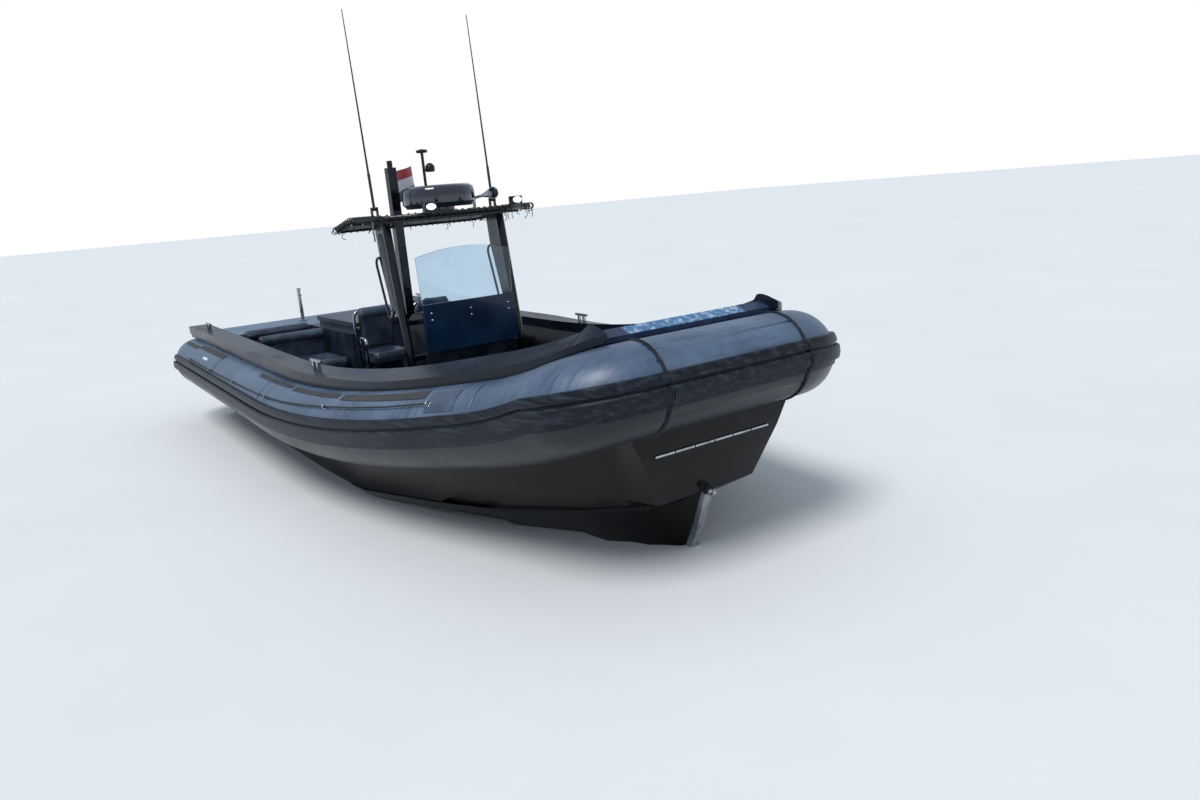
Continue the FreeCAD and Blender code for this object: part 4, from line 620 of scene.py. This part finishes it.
def roll(name, start, end, radius, seed, node):
    """A stuffed roll between two ends, with gathered, domed ends."""
    start = Vector(start)
    end = Vector(end)
    length = (end - start).length
    columns = 40
    rows = max(20, math.ceil(length / 0.012))
    along = (end - start).normalized()
    points = []
    faces = []
    for row in range(rows + 1):
        share = row / rows
        inset = min(share, 1.0 - share) * length / radius
        dome = math.sqrt(max(0.0, 1.0 - (1.0 - min(1.0, inset * 1.8)) ** 2))
        for column in range(columns):
            angle = 2.0 * math.pi * column / columns
            out = UP * math.cos(angle) + along.cross(UP) * math.sin(angle)
            pleat = (1.0 - min(1.0, inset / 1.4)) * 0.004 * math.cos(angle * 10.0)
            spot = Vector((
                share * length * 8.0 + seed, 2.0 * math.cos(angle), 2.0 * math.sin(angle)))
            fold = 0.004 * abs(noise.noise(spot)) + 0.0015 * noise.noise(spot * 3.0)
            reach = max(0.012, (radius - fold - pleat) * dome)
            points.append(start + along * share * length + out * reach)
    for row in range(rows):
        for column in range(columns):
            after = (column + 1) % columns
            low = row * columns
            high = low + columns
            faces.append((low + column, low + after, high + after, high + column))
    faces.append(tuple(reversed(range(columns))))
    faces.append(tuple(rows * columns + column for column in range(columns)))
    obj = mesh_piece(name, points, faces, "seat_leather")
    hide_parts(node)


def piping(name, low, high, axis):
    """Two welted seams round a pad, one near each broad face."""
    others = [index for index in range(3) if index != axis]
    lines = []
    for level in (low[axis] + WELT_INSET, high[axis] - WELT_INSET):
        line = []
        for first, second in ((0, 0), (1, 0), (1, 1), (0, 1)):
            corner = [0.0, 0.0, 0.0]
            corner[axis] = level
            corner[others[0]] = (low, high)[first][others[0]]
            corner[others[1]] = (low, high)[second][others[1]]
            line.append(Vector(corner))
        dense = []
        for here, there in zip(line, line[1:] + line[:1]):
            inset = 0.02 / (there - here).length
            for share in (inset, 0.2, 0.4, 0.6, 0.8, 1.0 - inset):
                dense.append(here.lerp(there, share))
        lines.append(dense)
    pipes(name, lines, WELT_RADIUS, "black_plastic", closed=True)


class BOAT_OT_seats(bpy.types.Operator):
    """Stuffed cushions, backs and rolls of the two seats, the two benches and the deck edge"""

    bl_idname = "boat.seats"
    bl_label = "Seats"

    def execute(self, context):
        for label, side in SIDES:
            seed = 3.0 + side
            middle = side * 0.315
            low, high = (-1.1, middle - 0.17, 0.846), (-0.86, middle + 0.17, 0.952)
            pad(f"{label}_seat_cushion", low, high, seed, "seat_cushions")
            piping(f"{label}_seat_welts", low, high, 2)
            roll(f"{label}_seat_roll", (-0.84, middle - 0.172, 0.902),
                 (-0.84, middle + 0.172, 0.902), ROLL_RADIUS, seed, "seat_cushions")
            low, high = (-1.163, middle - 0.16, 0.975), (-1.107, middle + 0.16, 1.29)
            pad(f"{label}_seat_back", low, high, seed + 2.0, "seat_backs")
            piping(f"{label}_back_welts", low, high, 0)
            roll(f"{label}_back_roll", (-1.135, middle - 0.166, 1.31),
                 (-1.135, middle + 0.166, 1.31), ROLL_RADIUS, seed + 4.0, "seat_backs")
            inner, outer = sorted((side * 0.38, side * 1.098))
            low, high = (-2.56, inner, 0.696), (-1.97, outer, 0.782)
            pad(f"{label}_bench_cushion", low, high, seed + 6.0, "bench_cushions", voxel=WIDE_VOXEL)
            piping(f"{label}_bench_welts", low, high, 2)
            roll(f"{label}_bench_roll", (-1.95, inner, 0.7436), (-1.95, outer, 0.7436),
                 BENCH_ROLL_RADIUS, seed + 8.0, "bench_cushions")
            low, high = (-2.66, inner, 0.7), (-2.6, outer, 0.975)
            pad(f"{label}_bench_back", low, high, seed + 10.0, "bench_backs", voxel=WIDE_VOXEL)
            roll(f"{label}_bench_back_roll", (-2.62, inner, 1.0), (-2.62, outer, 1.0),
                 ROLL_RADIUS, seed + 12.0, "bench_backs")
            inner, outer = sorted((side * 0.38, side * 1.108))
            pad(f"{label}_deck_pad", (-3.2395, inner, 0.6), (-3.19, outer, 1.0), seed + 14.0,
                "deck_bolsters", voxel=WIDE_VOXEL)
            roll(f"{label}_deck_roll", (-3.1817, inner, 1.02), (-3.1817, outer, 1.02),
                 ROLL_RADIUS, seed + 16.0, "deck_bolsters")
        return {"FINISHED"}


def frame_line():
    """The top's rail, once round, from the middle of its front."""
    half = (
        (0.56, 0.0), (0.56, 0.30), (0.545, 0.37), (0.49, 0.46), (0.38, 0.69), (0.30, 0.74),
        (RAIL_BEND_X, 0.74), (RAIL_AFT_X, 0.74),
    )
    line = []
    for x, y in half:
        drop = max(0.0, RAIL_BEND_X - x) / RAIL_AFT_RUN * RAIL_DROP
        line.append(Vector((x, -y, RAIL_Z - drop)))
    aft = [Vector((RAIL_AFT_X, y, RAIL_Z - RAIL_DROP)) for y in (0.3, -0.3)]
    port = [Vector((point.x, -point.y, point.z)) for point in reversed(line[1:])]
    return line + list(reversed(aft)) + port


class BOAT_OT_top(bpy.types.Operator):
    """Laced cloth of the top, its hanging cords and strap, lamp glasses and web covers"""

    bl_idname = "boat.top"
    bl_label = "Top"

    def execute(self, context):
        xs = sorted(set(
            [-0.65 + 0.03 * step for step in range(39)] + [-0.415, 0.174, -0.335, -0.245, -0.25]))
        shares = sorted(set([step / 40.0 * 2.0 - 1.0 for step in range(41)]))
        rows = []
        skip = set()
        for row, x in enumerate(xs):
            half = 0.684 if x <= 0.28 else 0.684 - (x - 0.28) / 0.21 * 0.334
            level = RAIL_Z - max(0.0, RAIL_BEND_X - x) * 0.1955
            line = []
            for column, share in enumerate(shares):
                y = share * half
                sag = 0.008 * (1.0 - share ** 2) * math.cos((x + 0.1) * 9.0)
                ripple = 0.003 * noise.noise(Vector((x * 7.0, y * 9.0, 4.0)))
                line.append(Vector((x, y, level + sag * 0.4 + ripple - 0.002)))
                if row < len(xs) - 1 and column < len(shares) - 1:
                    mid_x = (x + xs[row + 1]) / 2.0
                    mid_y = (share + shares[column + 1]) / 2.0 * half
                    plate_hole = -0.415 < mid_x < 0.174 and abs(mid_y) < 0.152
                    mast_hole = abs(mid_x + 0.29) < 0.05 and abs(mid_y + 0.3) < 0.055
                    horn_hole = abs(mid_x + 0.23) < 0.03 and abs(mid_y - 0.45) < 0.03
                    if plate_hole or mast_hole or horn_hole:
                        skip.add((row, column))
            rows.append(line)
        cloth = plate("top_cloth", rows, "canopy_fabric", 0.0016, skip=skip)
        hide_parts("top_canopy")
        rail = frame_line()
        lacing = []
        turn = 0.0
        for start, end in zip(rail, rail[1:] + rail[:1]):
            along = (end - start).normalized()
            inward = UP.cross(along).normalized()
            steps = max(2, math.ceil((end - start).length / 0.0048))
            for step in range(steps):
                middle = start.lerp(end, step / steps)
                turn += 0.52
                lacing.append(middle + inward * 0.0255 * math.cos(turn)
                              + UP * 0.0255 * math.sin(turn))
        pipes("top_lacing", [lacing], 0.0042, "rope_black", sides=6)
        draw = random.Random(11)
        cords = []
        for place in range(26):
            share = place / 26.0
            index = int(share * len(rail))
            spot = rail[index].lerp(rail[(index + 1) % len(rail)], (share * len(rail)) % 1.0)
            drop = draw.uniform(0.03, 0.09)
            lean = draw.uniform(-0.03, 0.03)
            cords.append(curved([
                spot + Vector((0.0, 0.0, -0.018)),
                spot + Vector((lean, lean * 0.4, -0.02 - drop * 0.6)),
                spot + Vector((lean * 1.6, -lean, -0.02 - drop))], 5))
        for side in (-1.0, 1.0):
            wire = []
            for step in range(14):
                x = 0.34 - step * 0.075
                wire.append(Vector((x, side * 0.735, 2.184 - 0.012 * (1 + math.sin(step * 2.2))
                                    - max(0.0, -0.25 - x) * 0.19)))
            cords.append(curved(wire, 3))
        pipes("top_loose_ends", cords, 0.0032, "rope_black", sides=6)
        strap = [[Vector((0.3 + width, -0.752, 2.19 - 0.02 * step))
                  + Vector((0.006 * math.sin(step * 0.8), 0.003 * math.cos(step), 0.0))
                  for width in (-0.014, 0.0, 0.014)] for step in range(9)]
        plate("top_strap", strap, "canopy_fabric", 0.003)
        self.lamps()
        self.webs()
        return {"FINISHED"}

    def lamps(self):
        """Bulging glasses in the two floodlights."""
        for label, side in SIDES:
            bpy.ops.object.select_all(action="DESELECT")
            bpy.ops.mesh.primitive_uv_sphere_add(segments=32, ring_count=16, radius=0.5)
            lens = bpy.context.object
            lens.scale = (0.016, 0.084, 0.05)
            lens.location = (0.6735, side * 0.394, 2.269)
            settle(lens, f"{label}_lamp_glass", "lamp_lens")
            smooth(lens)

    def webs(self):
        """Crowned covers outside the two webs behind the pillars."""
        for label, side in SIDES:
            rows = []
            count = 30
            for row in range(count + 1):
                share = row / count
                z = 1.42 + share * 0.66
                # The cover leans aft with its pillar.
                front = 0.33 - (z - 0.2) * 0.1458 - 0.06
                line = []
                for column in range(13):
                    across = column / 12.0
                    x = front - across * 0.15
                    crown = (1.0 - (2.0 * across - 1.0) ** 4) * (1.0 - (2.0 * share - 1.0) ** 8)
                    fold = 0.008 * noise.noise(Vector((x * 12.0, z * 22.0, side)))
                    y = side * (0.5505 + 0.014 * crown + fold * crown)
                    line.append(Vector((x, y, z)))
                rows.append(line)
            cover = plate(f"{label}_web_cover", rows, "canopy_fabric", 0.004)


class BOAT_OT_ensign(bpy.types.Operator):
    """The small ensign with its three stripes, blown out from its line"""

    bl_idname = "boat.ensign"
    bl_label = "Ensign"

    def execute(self, context):
        low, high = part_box("ensign")
        along = Vector((-0.65, 0.76, 0.0)).normalized()
        across = Vector((0.76, 0.65, 0.0))
        start = Vector((high.x, low.y, low.z + 0.004)) if low.y < high.y else low
        rows = []
        wrap = []
        for row in range(41):
            share = row / 40.0
            hoist = 0.276 - 0.028 * share
            line = []
            for column in range(25):
                level = column / 24.0
                wave = 0.011 * math.sin(share * 9.0 + level * 1.6) * min(1.0, share * 4.0)
                spot = start + along * share * 0.418 + UP * (0.093 * share + level * hoist)
                line.append(spot + across * wave)
                wrap.append((share, level))
            rows.append(line)
        flag = plate("ensign_cloth", rows, "flag_cloth", 0.0012, wrap=wrap)
        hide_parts("ensign")
        return {"FINISHED"}


class BOAT_OT_collar(bpy.types.Operator):
    """Step pads, patches, seam beads and marks of the collar"""

    bl_idname = "boat.collar"
    bl_label = "Collar"

    def execute(self, context):
        for label, side in SIDES:
            pads = (
                ((-4.15, -3.55), (60.0, 60.0), (70.0, 70.0)),
                ((-3.5, -2.39), (66.0, 66.0), (78.0, 78.0)),
                ((-0.98, -0.05), (68.0, 70.0), (77.0, 78.0)),
                ((0.02, 0.92), (66.0, 64.0), (77.0, 74.0)),
                ((1.0, 2.1), (60.0, 56.0), (74.0, 72.0)),
            )
            for index, (places, low, high) in enumerate(pads):
                patch(f"{label}_step_pad_{index + 1}", side, places, low, high,
                      0.0025, 0.005, "patch_rubber")
            patch(f"{label}_square_patch", side, (2.16, 2.44), (32.0, 32.0), (66.0, 66.0),
                  0.002, 0.004, "patch_blue")
            patch(f"{label}_white_patch", side, (-3.02, -2.82), (46.0, 46.0), (52.0, 52.0),
                  0.002, 0.003, "white_mark")
            for index, place in enumerate((-2.4, -0.6, 1.25, 2.62)):
                line = [on_tube(place, degrees, TUBE_RADIUS + 0.0015, side)
                        for degrees in range(28, 84, 3)]
                pipes(f"{label}_seam_{index + 1}", [line], 0.0032, "tube_fabric", sides=6)
        self.rings()
        return {"FINISHED"}

    def rings(self):
        """Beads round the collar where its bow joins on, over the strakes too, each with a black
        strand of painted groove shade beside it.
        """
        for label, side in SIDES:
            centre = Vector((BOW_X, side * BOW_HALF, BOW_Z))
            outline = [(3.0, degrees) for degrees in range(-150, -15, 5)]
            outline += [(reach + 5.0, degrees) for reach, degrees in STRAKE_PROFILE]
            outline += [(3.0, degrees) for degrees in range(29, 102, 4)]
            # The black strand beside each bead is painted shade, standing for the shadow in the
            # groove there.
            for name, lift, shift, radius, paint in (
                ("bead", 0.001, 0.0, 0.006, "strake_rubber"),
                ("painted_groove_shade", 0.0, 0.014, 0.004, "rope_black"),
            ):
                line = []
                for reach, degrees in outline:
                    angle = math.radians(degrees)
                    distance = TUBE_RADIUS + reach / 1000.0 + lift
                    line.append(centre + Vector((
                        math.cos(angle) * distance, side * shift, math.sin(angle) * distance)))
                pipes(f"{label}_bow_{name}", [line], radius, paint, sides=8)


class BOAT_OT_foredeck(bpy.types.Operator):
    """Raised bars of the chequer plate and the segments of the bow stripe"""

    bl_idname = "boat.foredeck"
    bl_label = "Foredeck"

    def execute(self, context):
        points = []
        faces = []
        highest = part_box("chequer_plates")[1].z
        slope = (1.497 - 1.462) / (3.278 - 3.19)
        pitch = 0.021
        for row in range(4):
            for column in range(42):
                y = -0.44 + column * pitch
                x = 3.198 + row * pitch
                turn = math.pi / 4.0 if (row + column) % 2 else -math.pi / 4.0
                top = 1.497 + 0.006 - (x - 3.19) * slope
                length = Vector((math.cos(turn), math.sin(turn), -slope * math.cos(turn)))
                width = Vector((-math.sin(turn), math.cos(turn), slope * math.sin(turn)))
                spot = Vector((x, y, min(top, highest)))
                first = len(points)
                points += [spot - length * 0.009, spot + width * 0.0032,
                           spot + length * 0.009, spot - width * 0.0032,
                           spot + Vector((0.0, 0.0, 0.0022)) - length * 0.005,
                           spot + Vector((0.0, 0.0, 0.0022)) + length * 0.005]
                faces += [(first, first + 4, first + 5, first + 2, first + 1),
                          (first, first + 3, first + 2, first + 5, first + 4),
                          (first, first + 1, first + 2, first + 3)]
        mesh_piece("chequer_bars", points, faces, "chequer_metal")
        for index in range(6):
            start = -0.455 + index * 0.153
            rows = [[Vector((3.4335, start + 0.145 * share, z)) for share in (0.0, 0.5, 1.0)]
                    for z in (0.752, 0.758, 0.764)]
            plate(f"bow_stripe_{index + 1}", rows, "bright_steel", 0.003)
        return {"FINISHED"}


class BOAT_OT_helm(bpy.types.Operator):
    """Bolt heads of the screen's clamp, grab handles, hatch ribs and bright seat gear"""

    bl_idname = "boat.helm"
    bl_label = "Helm"

    def execute(self, context):
        for row, z in enumerate((1.335, 1.392)):
            for column, y in enumerate((-0.37, 0.0, 0.37)):
                bpy.ops.object.select_all(action="DESELECT")
                bpy.ops.mesh.primitive_uv_sphere_add(segments=20, ring_count=10, radius=0.011)
                head = bpy.context.object
                head.scale = (0.7, 1.0, 1.0)
                head.location = (0.3665, y, z)
                settle(head, f"clamp_bolt_{row + 1}_{column + 1}", "bright_steel")
                smooth(head)
        for label, side in SIDES:
            line = curved([
                (-0.9, side * 0.515, 0.72), (-0.9, side * 0.52, 0.98),
                (-0.895, side * 0.52, 1.04), (-0.93, side * 0.52, 1.085),
                (-1.03, side * 0.52, 1.085), (-1.075, side * 0.52, 1.04),
                (-1.08, side * 0.52, 0.98), (-1.08, side * 0.515, 0.72),
            ], 6)
            brace = [Vector((-1.08, side * 0.515, 0.735)), Vector((-0.9, side * 0.515, 0.735))]
            tie = [Vector((-1.0, side * 0.515, 0.735)), Vector((-1.0, side * 0.45, 0.735)),
                   Vector((-1.0, side * 0.34, 0.78))]
            pipes(f"{label}_grab_handle", [line, brace, tie], 0.0125, "bright_steel")
            coils = []
            for step in range(121):
                angle = step / 120.0 * 2.0 * math.pi * 7.0
                coils.append(Vector((
                    -1.0 + 0.035 * math.cos(angle), side * 0.43 + 0.035 * math.sin(angle),
                    0.5 + step * 0.0018)))
            damper = [Vector((-1.0, side * 0.43, 0.42)), Vector((-1.0, side * 0.43, 0.76))]
            pipes(f"{label}_seat_spring", [coils], 0.006, "bright_steel")
            pipes(f"{label}_seat_damper", [damper], 0.016, "bright_steel", sides=16)
        ribs = []
        for index in range(16):
            y = -0.285 + index * 0.038
            ribs.append([Vector((-1.7795, y, 1.104)), Vector((-1.7795, y, 1.146))])
        pipes("lid_front_ribs", ribs, 0.005, "box_paint", body="engine_lid")
        return {"FINISHED"}


class BOAT_OT_finishes(bpy.types.Operator):
    """A worn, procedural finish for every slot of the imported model"""

    bl_idname = "boat.finishes"
    bl_label = "Finishes"

    def execute(self, context):
        make_finishes()
        for part in frame["record"]["subparts"]:
            obj = frame["nodes"][part["node"]]
            obj.data.materials.clear()
            obj.data.materials.append(FINISHES[part["material_slot"]])
            add_modifier(obj, "weld", "WELD", merge_threshold=0.0002)
            if part["node"] == "rub_strakes":
                # The ribs keep crisp creases, as moulded rubber has.
                only(obj)
                bpy.ops.object.shade_smooth()
                add_modifier(obj, "creases", "EDGE_SPLIT", split_angle=math.radians(30.0))
                continue
            if part["node"] not in ("starboard_tube", "port_tube", "nose_tube"):
                add_modifier(obj, "edges", "BEVEL", width=0.0018, segments=2,
                             limit_method="ANGLE", angle_limit=math.radians(40.0))
            only(obj)
            bpy.ops.object.shade_smooth()
            add_modifier(obj, "normals", "WEIGHTED_NORMAL", keep_sharp=True)
        frame["nodes"]["bow_pad"].data.materials[0] = FINISHES["pad_blue"]
        return {"FINISHED"}


class BOAT_OT_stage(bpy.types.Operator):
    """Floor at the waterline, pale surroundings, a soft sun and the camera"""

    bl_idname = "boat.stage"
    bl_label = "Stage"

    def execute(self, context):
        size = context.scene.boat_sizes
        finish("floor_pale", (0.74, 0.75, 0.76, 1.0), (0.78, 0.79, 0.8, 1.0), (0.7, 0.8),
               (0.3, 0.3, 0.7), grain=(20.0, 0.02, 0.001))
        bpy.ops.object.select_all(action="DESELECT")
        bpy.ops.mesh.primitive_plane_add(size=size.floor, location=(0.0, 0.0, 0.0))
        floor = context.object
        floor.name = "floor"
        floor.data.materials.append(FINISHES["floor_pale"])
        world = bpy.data.worlds.new("studio")
        world.use_nodes = True
        tree = world.node_tree
        tree.nodes["Background"].inputs[0].default_value = (0.78, 0.88, 1.0, 1.0)
        tree.nodes["Background"].inputs[1].default_value = size.sky
        white = tree.nodes.new("ShaderNodeBackground")
        white.inputs[0].default_value = (1.0, 1.0, 1.0, 1.0)
        path = tree.nodes.new("ShaderNodeLightPath")
        choose = tree.nodes.new("ShaderNodeMixShader")
        tree.links.new(path.outputs["Is Camera Ray"], choose.inputs[0])
        tree.links.new(tree.nodes["Background"].outputs[0], choose.inputs[1])
        tree.links.new(white.outputs[0], choose.inputs[2])
        tree.links.new(choose.outputs[0], tree.nodes["World Output"].inputs[0])
        context.scene.world = world
        sun = bpy.data.lights.new("sun", "SUN")
        sun.energy = size.sun
        sun.angle = math.radians(25.0)
        lamp = bpy.data.objects.new("sun", sun)
        context.collection.objects.link(lamp)
        lamp.rotation_mode = "QUATERNION"
        lamp.rotation_quaternion = Vector((-2.0, 4.0, -8.0)).to_track_quat("-Z", "Y")
        camera = bpy.data.cameras.new("camera")
        camera.sensor_width = 36.0
        camera.lens = 26.472
        body = bpy.data.objects.new("camera", camera)
        context.collection.objects.link(body)
        body.matrix_world = Matrix((
            (0.57295253, -0.14008542, 0.80752801, 7.30133273),
            (0.8154285, 0.19657922, -0.54445659, -3.41218104),
            (-0.0824728, 0.97042913, 0.2268602, 2.25850076),
            (0.0, 0.0, 0.0, 1.0),
        ))
        context.scene.camera = body
        context.scene.view_settings.view_transform = "Standard"
        return {"FINISHED"}


class BoatSizes(bpy.types.PropertyGroup):
    floor: bpy.props.FloatProperty(
        name="Floor", description="Side of the square floor", default=400.0, unit="LENGTH")
    sky: bpy.props.FloatProperty(
        name="Sky", description="Strength of the light from all round", default=0.6)
    sun: bpy.props.FloatProperty(
        name="Sun", description="Strength of the soft sun", default=2.0)


class BOAT_PT_panel(bpy.types.Panel):
    """Lists the pieces that dress the boat"""

    bl_idname = "BOAT_PT_panel"
    bl_label = "Boat"
    bl_space_type = "VIEW_3D"
    bl_region_type = "UI"
    bl_category = "Boat"

    def draw(self, context):
        for operator in OPERATORS:
            self.layout.operator(operator.bl_idname)


OPERATORS = (
    BOAT_OT_finishes, BOAT_OT_seats, BOAT_OT_top, BOAT_OT_ensign, BOAT_OT_collar,
    BOAT_OT_foredeck, BOAT_OT_helm, BOAT_OT_stage,
)


def register():
    for kind in (BoatSizes,) + OPERATORS + (BOAT_PT_panel,):
        bpy.utils.register_class(kind)
    bpy.types.Scene.boat_sizes = bpy.props.PointerProperty(type=BoatSizes)


def unregister():
    del bpy.types.Scene.boat_sizes
    for kind in reversed((BoatSizes,) + OPERATORS + (BOAT_PT_panel,)):
        bpy.utils.unregister_class(kind)


def main():
    register()
    bpy.ops.boat.finishes()
    bpy.ops.boat.seats()
    bpy.ops.boat.top()
    bpy.ops.boat.ensign()
    bpy.ops.boat.collar()
    bpy.ops.boat.foredeck()
    bpy.ops.boat.helm()
    bpy.ops.boat.stage()


if __name__ == "__main__":
    main()
